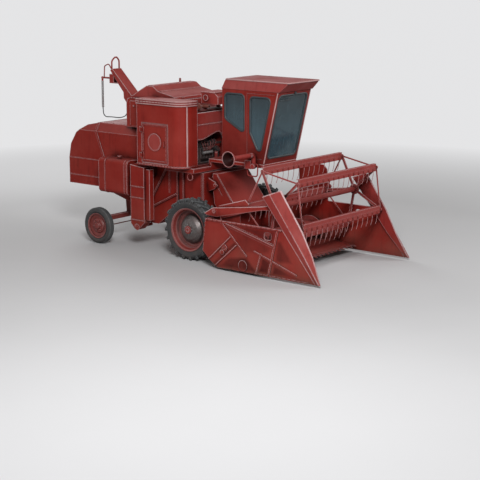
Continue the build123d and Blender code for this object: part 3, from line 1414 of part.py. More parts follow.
def reel_arms():
    arms = None
    for side in SIDES.values():
        y0, y1 = side * ARM_Y - ARM_T / 2, side * ARM_Y + ARM_T / 2
        inside = side * (ARM_Y - ARM_T / 2)
        arm = side_prism(ARM_OUTLINE, y0, y1)
        arm = arm + side_prism(ARM_GUSSET, inside, inside + side * ARM_PLATE)
        outside = side * (ARM_Y + ARM_T / 2)
        arm = arm + cross_pin(ARM_X, ARM_Z, outside, outside + side * 8, 48)
        arm = arm + cross_pin(REEL_X, REEL_Z, outside, outside + side * 6, 48)
        arm = arm - cross_pin(ARM_X, ARM_Z, y0 - 1, y1 + 9, ARM_PIN_R + FIT)
        arm = arm - cross_pin(ARM_X, ARM_Z, y0 - 9, y1 + 1, ARM_PIN_R + FIT)
        arm = arm - cross_pin(REEL_X, REEL_Z, y0 - 9, y1 + 9, REEL_SHAFT_R + FIT)
        arms = arm if arms is None else arms + arm
    return arms


# Lift cylinders


def along_cylinder(distance):
    """Point (x, z) at a distance from the rear eye towards the front one."""
    dx, dz = CYL_FRONT[0] - CYL_REAR[0], CYL_FRONT[1] - CYL_REAR[1]
    long = math.hypot(dx, dz)
    return CYL_REAR[0] + dx * distance / long, CYL_REAR[1] + dz * distance / long


def lift_cylinders():
    barrels = None
    for side in SIDES.values():
        y = side * CYL_Y
        a, b = along_cylinder(70), along_cylinder(430)
        barrel = round_bar((a[0], y, a[1]), (b[0], y, b[1]), CYL_R)
        neck = round_bar((CYL_REAR[0], y, CYL_REAR[1]), (a[0], y, a[1]), 26)
        barrel = barrel + neck + cross_pin(CYL_REAR[0], CYL_REAR[1], y - 34, y + 34, 36)
        start, end = along_cylinder(78), along_cylinder(440)
        barrel = barrel - round_bar((start[0], y, start[1]), (end[0], y, end[1]), ROD_R + FIT)
        barrel = barrel + cross_pin(CYL_REAR[0], CYL_REAR[1], y - 60, y + 60, 14)
        barrels = barrel if barrels is None else barrels + barrel
    return barrels


def lift_rods():
    rods = None
    x, z = CYL_FRONT
    long = math.hypot(x - CYL_REAR[0], z - CYL_REAR[1])
    for side in SIDES.values():
        y = side * CYL_Y
        a, b = along_cylinder(80), along_cylinder(long - 20)
        rod = round_bar((a[0], y, a[1]), (b[0], y, b[1]), ROD_R)
        rod = rod + cross_pin(x, z, y - 30, y + 30, 38)
        rod = rod - cross_pin(x, z, y - 40, y + 40, 25)
        rods = rod if rods is None else rods + rod
    return rods


# Unloading auger


TURRET_PIN_R = 100
TURRET_GAP = 5  # between the turret and the tube's collar


def unloading_elbow():
    """Turret on the body's left side that carries the swinging tube."""
    x, y, low = UNLOAD_X, UNLOAD_Y, TURRET_TOP - 190
    turret = round_bar((x, y, low), (x, y, TURRET_TOP), TURRET_R)
    turret = turret + round_bar((x, y, low), (x, y, TURRET_TOP + 60), TURRET_PIN_R)
    duct = cross_pin(x, low + 95, UPPER_HALF, y, 90)
    flange = block(x - 130, x + 130, UPPER_HALF, UPPER_HALF + 14, low - 20, TURRET_TOP)
    return turret + duct + flange + block(x - 20, x + 20, UPPER_HALF, y - 60, low - 90, low)


def unloading_tube():
    """Tube that swings out from its rest beside the hood."""
    x, y, z = UNLOAD_X, UNLOAD_Y, UNLOAD_Z
    foot = TURRET_TOP + TURRET_GAP
    collar = round_bar((x, y, foot), (x, y, foot + 70), TURRET_R)
    rise = tube([(x, y, foot + 40), (x, y, z), (x - 300, y, z)], UNLOAD_R - 3, [UNLOAD_R + 5])
    shape = collar + rise + round_bar((x - 250, y, z), (UNLOAD_END, y, z), UNLOAD_R)
    for band in (x - 330, x - 1250, UNLOAD_END + 90):
        shape = shape + round_bar((band, y, z), (band + 24, y, z), UNLOAD_R + 14)
    return shape - round_bar((x, y, foot - 5), (x, y, foot + 62), TURRET_PIN_R + FIT)


def cylinder_trunnions(shape):
    """Holes for the cylinders' rear pins."""
    for side in SIDES.values():
        y = side * CYL_Y
        shape = shape - cross_pin(CYL_REAR[0], CYL_REAR[1], y - 60, y + 60, 14 + FIT)
    return shape


# Rear mast with its hose

MAST_RIGHT = -400
MAST_LEFT = -100
HOSE_R = 12
HOSE_Y = MAST_RIGHT + 25
HOSE_X = TANK_REAR - 1190
HOSE_TOP = TANK_TOP + 280
HOSE_END = (TANK_REAR - 350, TANK_TOP - 245)
HOOP_R = 19
FITTING_Z = TANK_TOP + 360
SPRING_PITCH = 40
SPRING_LOW = TANK_TOP - 360
SPRING_BEADS = 16


# Side view of the mast: x ahead of the tank's rear wall, z above the tank's top
MAST_OUTLINE = [(0, -330), (-350, -220), (-460, -90), (-470, 50), (-640, 240)]
MAST_OUTLINE += [(-900, 550), (-830, 590), (-210, -10), (0, -50)]


def mast():
    """Box-section mast on the tank's rear wall, with its hoops, bracket and fittings."""
    rear, base = TANK_REAR, TANK_TOP
    body = side_prism([(rear + x - SEAT, base + z) for x, z in MAST_OUTLINE], MAST_RIGHT, MAST_LEFT)
    right, left = MAST_RIGHT + HOOP_R + 6, MAST_LEFT - HOOP_R - 6
    middle = (right + left) / 2
    x, z = rear - 865, base + 560
    hoop = [(x, right, z), (x, right, z + 210), (x + 20, middle, z + 330), (x, left, z + 210), (x, left, z)]
    body = body + tube(hoop, HOOP_R, [90, 90, 90])
    hook = [(rear - 850, base + 540), (rear - 970, base + 700), (rear - 1110, base + 640), (rear - 1130, FITTING_Z)]
    body = body + tube([(x, HOSE_Y, z) for x, z in hook], 14, [60, 60])
    shelf, out = base + 260, MAST_RIGHT + 120
    body = body + block(rear - 930, rear - 630, MAST_RIGHT, out, shelf - 20, shelf)
    body = body + block(rear - 930, rear - 790, MAST_RIGHT, out, shelf, shelf + 200)
    knob = (HOSE_X, HOSE_Y, FITTING_Z)
    body = body + round_bar((rear - 910, HOSE_Y, FITTING_Z), knob, 22)
    body = body + Pos(*knob) * Sphere(30) + round_bar((HOSE_X, HOSE_Y, HOSE_TOP), knob, 24)
    x, z = HOSE_END
    return body + round_bar((x, HOSE_Y, z), (x, HOSE_Y, z + 85), 19)


# Route of the hose: x ahead of the tank's rear wall, z above the tank's top
HOSE_LINE = [(-1190, 280), (-1190, -30), (-1196, -325), (-1170, -595)]
HOSE_LINE += [(-905, -575), (-600, -585), (-350, -485), (-350, -245)]


def hose_route():
    return [(TANK_REAR + x, HOSE_Y, TANK_TOP + z) for x, z in HOSE_LINE]


def hose():
    points = hose_route()
    radii = bend_radii(points)
    print("hose radii", radii)
    line = FilletPolyline(*points, radius=radii)
    shape = tube(points, HOSE_R, radii)
    print("hose volume over section times length", round(shape.volume / (math.pi * HOSE_R**2 * line.length), 5))
    return shape


def hose_spring():
    """Guard of round beads in a row round the hose."""
    bore, outer = HOSE_R + 7, HOSE_R + 17
    points = [(bore, SPRING_LOW)]
    for i in range(SPRING_BEADS):
        z = SPRING_LOW + i * SPRING_PITCH
        points += [(bore + 4, z), (outer, z + SPRING_PITCH * 0.3), (outer, z + SPRING_PITCH * 0.7)]
    top = SPRING_LOW + SPRING_BEADS * SPRING_PITCH
    points += [(bore + 4, top), (bore, top)]
    return upright_turned(points, HOSE_X, HOSE_Y)


def main():
    os.makedirs("parts", exist_ok=True)
    save("separator_body", separator_body(), cylinder_trunnions(lift_shaft()))
    save("straw_hood", straw_hood())
    lid_hinges = [hinge(plane) for plane in lid_planes()]
    save("grain_tank", grain_tank(), *[fixed for fixed, _ in lid_hinges])
    save("tank_cover", tank_cover(), *[moving for _, moving in lid_hinges])
    rad_hinges = [hinge(plane) for plane in radiator_planes()]
    save("radiator_box", radiator_box(), *[fixed for fixed, _ in rad_hinges])
    save("radiator_door", radiator_door(), *[moving for _, moving in rad_hinges])
    save("engine_hood", engine_hood())
    save("engine_block", engine_block())
    save("engine_belts", engine_belts())
    save("muffler", muffler())
    save("air_box", air_box())
    save("platform", platform())
    save("bell_pipe", bell_pipe())
    save("cab_shell", cab_shell())
    save("cab_roof", cab_roof())
    save("cab_glass", cab_glass())
    save("cab_door", cab_door())
    save("door_glass", side_pane(DOOR_SIDE, door_window(SEAT)))
    save("seat", seat())
    save("steering_column", steering_column())
    save("fuel_tank", fuel_tank())
    save("grain_elevator", grain_elevator())
    save("side_struts", struts())
    save("ladder", ladder())
    save("main_axle", main_axle())
    save("steer_axle", steer_axle())
    save("tie_rod", tie_rod())
    tyre = drive_tyre()
    for word, side in SIDES.items():
        save(f"drive_rim_{word}", drive_rim(side))
        save(f"drive_tyre_{word}", mirrored(side, tyre))
        save(f"knuckle_{word}", knuckle(side))
        save(f"steer_rim_{word}", steer_rim(side))
        save(f"steer_tyre_{word}", steer_tyre(side))
        save(f"end_sheet_{word}", end_sheet(side))
        save(f"divider_{word}", divider(side))
    save("feeder_house", feeder_house())
    save("header_trough", header_trough())
    save("cutterbar", cutterbar())
    save("header_auger", header_auger())
    save("reel_spider", reel_spider())
    save("reel_arms", reel_arms())
    bat = reel_bat()
    for number, (x, z) in enumerate(bat_places(), 1):
        save(f"reel_bat_{number}", Pos(x, 0, z) * bat)
    save("lift_cylinders", lift_cylinders())
    save("lift_rods", lift_rods())
    save("unloading_elbow", unloading_elbow())
    save("unloading_tube", unloading_tube())
    save("rear_mast", mast())
    save("mast_hose", hose())
    save("hose_spring", hose_spring())


main()
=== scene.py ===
import math

import bmesh
import bpy
import numpy as np
from mathutils import Euler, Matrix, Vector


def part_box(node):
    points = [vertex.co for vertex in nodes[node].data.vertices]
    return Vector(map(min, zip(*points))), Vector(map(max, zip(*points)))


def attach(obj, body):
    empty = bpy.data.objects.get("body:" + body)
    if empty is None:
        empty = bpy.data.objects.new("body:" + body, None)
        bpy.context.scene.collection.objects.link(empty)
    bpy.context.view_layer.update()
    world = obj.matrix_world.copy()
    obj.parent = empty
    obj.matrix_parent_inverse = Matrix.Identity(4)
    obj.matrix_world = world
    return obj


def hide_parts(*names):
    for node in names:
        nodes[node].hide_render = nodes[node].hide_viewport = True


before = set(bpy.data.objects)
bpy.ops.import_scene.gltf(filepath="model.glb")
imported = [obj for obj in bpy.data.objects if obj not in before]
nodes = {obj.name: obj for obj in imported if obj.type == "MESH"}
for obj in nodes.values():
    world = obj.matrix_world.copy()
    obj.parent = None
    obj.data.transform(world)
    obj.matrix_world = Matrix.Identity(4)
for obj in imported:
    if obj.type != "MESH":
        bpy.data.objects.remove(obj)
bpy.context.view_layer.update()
print("frame loaded:", len(nodes), "nodes")

# Camera and light

cameraPlace = {
    "location": (19.821, -23.546, 6.713),
    "yaw": 39.20,  # degrees turned left from looking along +y
    "pitch": 11.95,  # degrees down
    "lens": 100.56,
    "sensor": 36.0,
    "clipEnd": 300.0,
}

studio = {
    "world": (0.64, 0.62, 0.59),
    "worldStrength": 0.42,
    "backdrop": (0.78, 0.78, 0.79),
    "floor": (0.48, 0.48, 0.49),
    "floorSize": 90.0,
    "floorNoise": (0.35, 3.0),  # scale and detail of its faint patches
    "floorSpan": (0.3, 0.7),
    "floorPaler": 1.03,
    "floorFade": (8.0, 19.0),  # metres from the middle where the floor turns into the backdrop
    "lampAim": 1.5,  # height above the middle that the lamps look at
    # name, place, size in metres, power in watts
    "lamps": [
        ("keyLamp", (10.5, -12.5, 11.0), 5.0, 2750.0),
        ("fillLamp", (13.0, 9.0, 8.0), 9.0, 800.0),
        ("backLamp", (-12.0, 6.0, 9.0), 7.0, 800.0),
    ],
}


def seenRay(tree):
    # 1 where a camera, mirror or glass ray arrives
    rays = addNode(tree, "LightPath").outputs
    share = mathNode(tree, "MAXIMUM", rays["Is Camera Ray"], rays["Is Glossy Ray"])
    return mathNode(tree, "MAXIMUM", share, rays["Is Transmission Ray"])


def makeCamera():
    data = bpy.data.cameras.new("photoCamera")
    data.lens, data.sensor_width = cameraPlace["lens"], cameraPlace["sensor"]
    data.clip_end = cameraPlace["clipEnd"]
    camera = bpy.data.objects.new("photoCamera", data)
    bpy.context.scene.collection.objects.link(camera)
    camera.location = cameraPlace["location"]
    turn = (math.radians(90 - cameraPlace["pitch"]), 0, math.radians(cameraPlace["yaw"]))
    camera.rotation_euler = Euler(turn)
    bpy.context.scene.camera = camera


def makeStudio():
    scene = bpy.context.scene
    scene.view_settings.view_transform = "Standard"
    world = bpy.data.worlds.new("studioWorld")
    scene.world = world
    world.use_nodes = True
    tree = world.node_tree
    tree.nodes.clear()
    colour, strength = (*studio["world"], 1), studio["worldStrength"]
    light = addNode(tree, "Background", {"Color": colour, "Strength": strength})
    seen = addNode(tree, "Background", {"Color": (*studio["backdrop"], 1), "Strength": 1.0})
    mix = addNode(tree, "MixShader", {0: seenRay(tree), 1: light.outputs[0], 2: seen.outputs[0]})
    addNode(tree, "OutputWorld", {"Surface": mix.outputs[0]})
    for name, place, size, power in studio["lamps"]:
        lamp = bpy.data.lights.new(name, "AREA")
        lamp.shape, lamp.size, lamp.energy = "DISK", size, power
        holder = bpy.data.objects.new(name, lamp)
        scene.collection.objects.link(holder)
        holder.location = place
        toMiddle = -holder.location
        toMiddle.z += studio["lampAim"]
        holder.rotation_euler = toMiddle.to_track_quat("-Z", "Y").to_euler()
    half = studio["floorSize"] / 2
    corners = [(-half, -half, 0), (half, -half, 0), (half, half, 0), (-half, half, 0)]
    floor = meshPiece("studioFloor", corners, [(0, 1, 2, 3)])
    floor.data.materials.append(floorMaterial())


# Places in the drawing: millimetres, with x = 0 at the front axle, 260 mm ahead of the frame's origin

millimetre = 0.001
drawingStart = np.array([0.260, 0.0, 0.0])
right, ahead, above = (0, -1, 0), (1, 0, 0), (0, 0, 1)
nearlyUpright = 0.9  # z of a direction past which the helper across it is ahead and not above


def inFrame(points):
    # drawing's millimetres to the frame's metres
    return np.asarray(points, float) * millimetre + drawingStart


def standing(outline, y):
    # (x, z) pairs of the drawing at one y, in the frame's metres
    return inFrame([(x, y, z) for x, z in outline])


def unit(vectors):
    vectors = np.asarray(vectors, float)
    return vectors / np.linalg.norm(vectors, axis=-1, keepdims=True)


# Mesh helpers: every surface is worked out as whole arrays


def meshPiece(name, points, faces, smooth=False):
    # one object from its points and faces
    mesh = bpy.data.meshes.new(name)
    mesh.from_pydata(np.asarray(points, float).tolist(), [], [tuple(map(int, f)) for f in faces])
    mesh.validate()
    if smooth:
        mesh.shade_smooth()
    mesh.update()
    made = bpy.data.objects.new(name, mesh)
    bpy.context.scene.collection.objects.link(made)
    return made


def addPiece(name, shape, material, body="chassis", smooth=False):
    # a new piece from its (points, faces), with its material, riding on a body
    piece = meshPiece(name, *shape, smooth=smooth)
    piece.data.materials.append(material)
    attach(piece, body)
    return piece


def joined(parts):
    # stacks (points, faces) pairs into one pair, each part's faces moved past the points before it
    points, faces, count = [], [], 0
    for p, f in parts:
        points.append(np.asarray(p, float))
        faces.extend([tuple(np.asarray(face) + count) for face in f])
        count += len(p)
    return np.vstack(points), faces


def gridFaces(rows, columns, loopRows=False, loopColumns=False):
    # quads between neighbouring rows and columns of a grid of points, joined round where it loops
    r = np.arange(rows if loopRows else rows - 1)
    c = np.arange(columns if loopColumns else columns - 1)
    r, c = np.meshgrid(r, c, indexing="ij")
    r1, c1 = (r + 1) % rows, (c + 1) % columns
    quads = np.stack([r * columns + c, r * columns + c1, r1 * columns + c1, r1 * columns + c], axis=-1)
    return quads.reshape(-1, 4)


def pipeFaces(rows, sides, closed=False, turned=False):
    # quads round a row of rings with a flat face at both ends, or the same the other way round
    faces = list(gridFaces(rows, sides, loopRows=closed, loopColumns=True))
    if not closed:
        last = rows * sides
        faces += [range(sides - 1, -1, -1), range(last - sides, last)]
    return [tuple(f[::-1]) if turned else tuple(f) for f in faces]


def evenAngles(count):
    return np.linspace(0, 2 * np.pi, count, endpoint=False)


def ringRound(first, other, sides):
    # first * cos + other * sin at even angles, for each row of first and other
    turn = evenAngles(sides)[:, None]
    return np.atleast_2d(first)[:, None] * np.cos(turn) + np.atleast_2d(other)[:, None] * np.sin(turn)


def tube(path, radius, sides=10):
    # circle of the radius carried along the path: centre plus radius times (cos, sin) in a frame
    # that turns with the path and is never twisted about it
    path = np.asarray(path, float)
    radius = np.broadcast_to(radius, len(path))
    step = unit(np.gradient(path, axis=0))
    first = np.array(above if abs(step[0, 2]) < nearlyUpright else ahead, float)
    across = [unit(first - step[0] * (first @ step[0]))]
    for k in range(1, len(path)):
        across.append(unit(across[-1] - step[k] * (across[-1] @ step[k])))
    across = np.array(across)
    ring = ringRound(across, np.cross(step, across), sides)
    points = path[:, None] + ring * radius[:, None, None]
    return points.reshape(-1, 3), pipeFaces(len(path), sides)


def sweep(path, normal, wide, deep, closed=False, sides=10):
    # ellipse carried along the path: half the width to the path's side, half the depth along the normal
    path = np.asarray(path, float)
    step = np.roll(path, -1, 0) - np.roll(path, 1, 0) if closed else np.gradient(path, axis=0)
    normal = unit(np.broadcast_to(np.asarray(normal, float), path.shape))
    across = unit(np.cross(unit(step), normal))
    ring = ringRound(across * wide / 2, normal * deep / 2, sides)
    return (path[:, None] + ring).reshape(-1, 3), pipeFaces(len(path), sides, closed, turned=True)


def turnedPart(profile, centre, axis, sides=28):
    # profile of (radius, distance along the axis) turned round the axis, with a flat face at both ends
    axis = unit(axis)
    first = unit(np.cross(axis, above if abs(axis[2]) < nearlyUpright else ahead))
    ring = ringRound(first, np.cross(axis, first), sides)
    profile = np.asarray(profile, float)
    along = (profile[:, 1, None] * axis)[:, None]
    points = profile[:, 0, None, None] * ring + along + np.asarray(centre, float)
    return points.reshape(-1, 3), pipeFaces(len(profile), sides)


def roundedLoop(corners, radius, steps=7):
    # polygon with its corners as arcs: each arc turns from one tangent point to the other about the
    # point that lies radius / sin(half the corner's angle) from the corner along its bisector
    corners = np.asarray(corners, float)
    back, on = unit(np.roll(corners, 1, 0) - corners), unit(np.roll(corners, -1, 0) - corners)
    half = np.arccos(np.clip((back * on).sum(1), -1, 1)) / 2
    centre = corners + unit(back + on) * (radius / np.sin(half))[:, None]
    reach = (radius / np.tan(half))[:, None]
    start, end = corners + back * reach - centre, corners + on * reach - centre
    angle = (np.pi - 2 * half)[:, None, None]
    share = np.linspace(0, 1, steps)[None, :, None]
    arc = np.sin((1 - share) * angle) * start[:, None] + np.sin(share * angle) * end[:, None]
    return (centre[:, None] + arc / np.sin(angle)).reshape(-1, corners.shape[1])


def smoothLine(points, passes=3):
    # corner cutting: each pass puts points at a quarter and three quarters of every run and keeps the ends
    points = np.asarray(points, float)
    for _ in range(passes):
        a, b = points[:-1], points[1:]
        cut = np.stack([0.75 * a + 0.25 * b, 0.25 * a + 0.75 * b], axis=1).reshape(-1, points.shape[1])
        points = np.vstack([points[:1], cut, points[-1:]])
    return points


def boltHeads(places, normals, radius, high, sides=6):
    # low prisms on a face: a ring below it, one at 0.8 of the height and a smaller one on top, all at once
    places, normals = np.atleast_2d(places), unit(np.atleast_2d(normals))
    helper = np.where(np.abs(normals[:, 2:3]) < nearlyUpright, [above], [ahead])
    first = unit(np.cross(helper, normals))
    ring = ringRound(first, np.cross(normals, first), sides)
    rings = ((1, -0.3), (1, 0.8), (0.75, 1))  # share of the radius and of the height
    layers = [places[:, None] + ring * radius * size + (normals * high * up)[:, None] for size, up in rings]
    one, count = pipeFaces(len(rings), sides), len(rings) * sides
    faces = [tuple(i + k * count for i in face) for k in range(len(places)) for face in one]
    return np.concatenate(layers, axis=1).reshape(-1, 3), faces


def boxPoints(centres, half):
    # eight corners round every centre, and six faces each
    corner = np.array([(x, y, z) for x in (-1, 1) for y in (-1, 1) for z in (-1, 1)], float)
    points = np.asarray(centres, float)[:, None] + corner[None] * np.asarray(half, float)
    one = [(0, 1, 3, 2), (4, 6, 7, 5), (0, 4, 5, 1), (2, 3, 7, 6), (0, 2, 6, 4), (1, 5, 7, 3)]
    faces = [tuple(i + 8 * k for i in face) for k in range(len(points)) for face in one]
    return points.reshape(-1, 3), faces


# Node helpers


def addNode(tree, kind, inputs=None, **settings):
    # a node with its settings, its inputs either values or other nodes' sockets
    node = tree.nodes.new(kind if kind.startswith("NodeGroup") else "ShaderNode" + kind)
    for key, value in settings.items():
        setattr(node, key, value)
    for key, value in (inputs or {}).items():
        if isinstance(value, bpy.types.NodeSocket):
            tree.links.new(value, node.inputs[key])
        else:
            node.inputs[key].default_value = value
    return node


def mathNode(tree, operation, a, b=None, clamp=False):
    inputs = {0: a} if b is None else {0: a, 1: b}
    return addNode(tree, "Math", inputs, operation=operation, use_clamp=clamp).outputs[0]


def times(tree, a, b, clamp=False):
    return mathNode(tree, "MULTIPLY", a, b, clamp)


def plus(tree, a, b, clamp=False):
    return mathNode(tree, "ADD", a, b, clamp)


def minus(tree, a, b, clamp=False):
    return mathNode(tree, "SUBTRACT", a, b, clamp)


def vectorNode(tree, operation, a, b=None):
    # the outputs "Vector" and "Value" of a sum of vectors
    inputs = {0: a} if b is None else {0: a, 1: b}
    return addNode(tree, "VectorMath", inputs, operation=operation).outputs


def axisPart(tree, vector, axis):
    return addNode(tree, "SeparateXYZ", {0: vector}).outputs[axis]


def faceNormal(tree):
    return addNode(tree, "NewGeometry").outputs["Normal"]


def noiseNode(tree, vector, scale, detail, roughness=0.5):
    inputs = {"Vector": vector, "Scale": scale, "Detail": detail, "Roughness": roughness}
    return addNode(tree, "TexNoise", inputs).outputs["Fac"]


def rampNode(tree, value, low, high):
    # 0 below low, 1 above high, straight between
    return addNode(tree, "MapRange", {"Value": value, "From Min": low, "From Max": high}).outputs[0]


def mixColour(tree, share, a, b):
    # on a Mix node the colours are inputs 6 and 7, and the mixed colour is output 2
    node = addNode(tree, "Mix", {0: share}, data_type="RGBA", blend_type="MIX")
    for place, value in ((6, a), (7, b)):
        if isinstance(value, bpy.types.NodeSocket):
            tree.links.new(value, node.inputs[place])
        else:
            node.inputs[place].default_value = (*value, 1)
    return node.outputs[2]


def layered(tree, base, layers):
    # colours laid one over another, each by its own share
    for share, colour in layers:
        base = mixColour(tree, share, base, colour)
    return base


def twoTone(tree, noise, span, pair):
    # from one colour of the pair to the other as the noise goes through its span
    return mixColour(tree, rampNode(tree, noise, *span), *pair)


def scaled(colour, by):
    return tuple(by * c for c in colour)


def newGroup(name, inputs, outputs):
    # a node group and the sockets that come in; inputs are (name, kind, default), outputs (name, kind)
    group = bpy.data.node_groups.new(name, "ShaderNodeTree")
    for label, kind, value in inputs:
        made = group.interface.new_socket(label, in_out="INPUT", socket_type="NodeSocket" + kind)
        if value is not None:
            made.default_value = value
    for label, kind in outputs:
        group.interface.new_socket(label, in_out="OUTPUT", socket_type="NodeSocket" + kind)
    return group, addNode(group, "NodeGroupInput").outputs


def useGroup(tree, group, inputs):
    return addNode(tree, "Group", inputs, node_tree=group).outputs


wearAndHighlightShape = {
    "softRadius": 0.006,  # by this every edge looks rounded
    "samples": (8, 4, 6),  # of the bevel for the rubbed and lit edges, the soft bevel and the corner's shade
    "noise": (5.0, 0.65),  # detail and roughness
    "noiseSpan": (0.22, 0.44),
    "bendSpan": (0.008, 0.050),
    "leastTilt": 0.002,  # keeps the tilt's length off zero
    "upwardSpan": (-0.55, 0.40),
    "downShare": 0.26,  # what is left of it where the edge turns down
    "cornerReach": 1.6,  # times the edge's width
    "cornerSpan": (0.84, 0.97),
}


def makeEdgeWearAndHighlight():
    # rubbed edges and painted highlights: one minus the cosine between the face's normal and a rounded
    # normal, broken up by noise, kept off inner corners by a short occlusion, and weaker where the edge
    # turns down and stays shaded, so that edges turned up carry a painted highlight
    shape = wearAndHighlightShape
    wideBevel, softBevel, shade = shape["samples"]
    group, put = newGroup(
        "edgeWearAndHighlight",
        [("Place", "Vector", None), ("Width", "Float", 0.012), ("Breakup", "Float", 9.0),
         ("Amount", "Float", 1.0)],
        [("Mask", "Float"), ("Rounded", "Vector")],
    )
    flat = faceNormal(group)
    bevel = addNode(group, "Bevel", {"Radius": put["Width"]}, samples=wideBevel).outputs[0]
    soft = addNode(group, "Bevel", {"Radius": shape["softRadius"]}, samples=softBevel).outputs[0]
    bend = minus(group, 1.0, vectorNode(group, "DOT_PRODUCT", bevel, flat)["Value"])
    noise = noiseNode(group, put["Place"], put["Breakup"], *shape["noise"])
    # the tilt from one normal to the other is as long as the root of twice the bend
    rise = axisPart(group, vectorNode(group, "SUBTRACT", bevel, flat)["Vector"], "Z")
    length = mathNode(group, "SQRT", plus(group, times(group, bend, 2.0), shape["leastTilt"]))
    # edges that turn up keep more of the pale mask: a painted highlight where light would catch them
    upward = rampNode(group, mathNode(group, "DIVIDE", rise, length), *shape["upwardSpan"])
    share = plus(group, times(group, upward, 1 - shape["downShare"]), shape["downShare"])
    reach = times(group, put["Width"], shape["cornerReach"])
    near = addNode(group, "AmbientOcclusion", {"Distance": reach}, samples=shade).outputs["AO"]
    broken = rampNode(group, noise, *shape["noiseSpan"])
    wornAndLit = times(group, rampNode(group, bend, *shape["bendSpan"]), broken)
    wornAndLit = times(group, wornAndLit, times(group, share, rampNode(group, near, *shape["cornerSpan"])))
    mask = times(group, wornAndLit, put["Amount"], clamp=True)
    addNode(group, "NodeGroupOutput", {"Mask": mask, "Rounded": soft})
    return group


grimeAndShadeShape = {
    "samples": 6,
    "noise": (7.0, 0.62),
    "blotchSpan": (0.36, 0.68),
    "cornerShadeBase": 0.55,  # what the painted corner shade and the dust have where there is no blotch
    "dustBase": 0.25,
    "drawnOut": (9.0, 9.0, 0.55),  # squeezes the streaks' noise across and draws it out downwards
    "streaks": (1.6, 6.0, 0.6),
    "streakSpan": (0.50, 0.72),
}


def makeGrimeAndShade():
    # painted shade in corners, dust low down, in blotches, and streaks run down by rain
    shape = grimeAndShadeShape
    group, put = newGroup(
        "grimeAndShade",
        [("Place", "Vector", None), ("Reach", "Float", 0.22), ("Low", "Float", 1.3),
         ("Scale", "Float", 2.2)],
        [("CornerShade", "Float"), ("Dust", "Float"), ("Streaks", "Float"), ("Blotches", "Float")],
    )
    shade = addNode(group, "AmbientOcclusion", {"Distance": put["Reach"]}, samples=shape["samples"])
    corner = minus(group, 1.0, shade.outputs["AO"])
    noise = noiseNode(group, put["Place"], put["Scale"], *shape["noise"])
    blotch = rampNode(group, noise, *shape["blotchSpan"])
    height = mathNode(group, "DIVIDE", axisPart(group, put["Place"], "Z"), put["Low"])
    low = minus(group, 1.0, height, clamp=True)
    drawn = vectorNode(group, "MULTIPLY", put["Place"], shape["drawnOut"])["Vector"]
    lines = rampNode(group, noiseNode(group, drawn, *shape["streaks"]), *shape["streakSpan"])
    addNode(group, "NodeGroupOutput", {
        "CornerShade": times(group, corner, plus(group, blotch, shape["cornerShadeBase"]), clamp=True),
        "Dust": times(group, low, plus(group, blotch, shape["dustBase"]), clamp=True),
        "Streaks": times(group, lines, blotch),
        "Blotches": blotch,
    })
    return group


edgeWearAndHighlight = makeEdgeWearAndHighlight()
grimeAndShade = makeGrimeAndShade()


def newMaterial(name, **plain):
    # a material with its Principled shader, whose plain values are set on its own sockets
    material = bpy.data.materials.new(name)
    material.use_nodes = True
    tree = material.node_tree
    tree.nodes.clear()
    shader = addNode(tree, "BsdfPrincipled", plain)
    addNode(tree, "OutputMaterial", {"Surface": shader.outputs[0]})
    place = addNode(tree, "TexCoord").outputs["Object"]
    return material, tree, shader, place


def wornSurfaceWithLightAndShade(name, plain, wearAndHighlight, dirtAndShade, grain):
    # a new material with its own rubbed and lit edges, dust, stains and painted corner shade, and grain,
    # which the aged finishes share
    material, tree, shader, place = newMaterial(name, **plain)
    wornAndLit = useGroup(tree, edgeWearAndHighlight, {"Place": place, **wearAndHighlight})
    grimyAndShaded = useGroup(tree, grimeAndShade, {"Place": place, **dirtAndShade})
    return material, tree, shader, place, wornAndLit, grimyAndShaded, noiseNode(tree, place, *grain)


def feed(tree, shader, base, rough=None):
    tree.links.new(base, shader.inputs["Base Color"])
    if rough is not None:
        tree.links.new(rough, shader.inputs["Roughness"])


def bumped(tree, shader, height, strength, distance, normal=None):
    bump = addNode(tree, "Bump", {"Height": height, "Strength": strength, "Distance": distance})
    if normal is not None:
        tree.links.new(normal, bump.inputs["Normal"])
    tree.links.new(bump.outputs[0], shader.inputs["Normal"])


# Paint. The reds are the enamel, where it has faded, and where stains and painted shade darken it

redDeep, redFaded, redDark = (0.202, 0.0110, 0.0070), (0.242, 0.026, 0.0185), (0.050, 0.004, 0.0030)
paintLook = {
    "plain": {"Specular IOR Level": 0.16},
    "breakup": 4.0,
    "patches": (0.8, 6.0, 0.6),  # noise scale, detail and roughness
    "patchSpan": (0.38, 0.66),
    "specks": (38.0, 6.0, 0.7),
    "speckSpan": (0.60, 0.74),
    "speckShare": 0.30,
    "streakShare": 0.50,
    "turnedUp": (0.245, 0.066, 0.060),  # paler red on faces turned up
    "turnedUpSpan": (0.35, 0.95),
    "turnedUpBase": 0.45,
    "cornerShadeShare": 1.25,
    "cornerShadeDark": 0.22,  # times the dark red
    "earth": (0.15, 0.085, 0.062),
    "earthShare": 0.34,
    "pocketPatches": (0.45, 0.62),  # what blotches add to the painted shade between ribs, and what is always there
    "lowShadeShare": 0.42,
    "lowShadeBase": 0.6,
    "throatShadeDark": 0.30,
    "keptShare": 1.3,  # how much the painted shade in corners keeps off the pale edges
    "roughShare": 0.20,
    "bump": (0.22, 0.004),
    "bumpSpecks": 0.4,
}


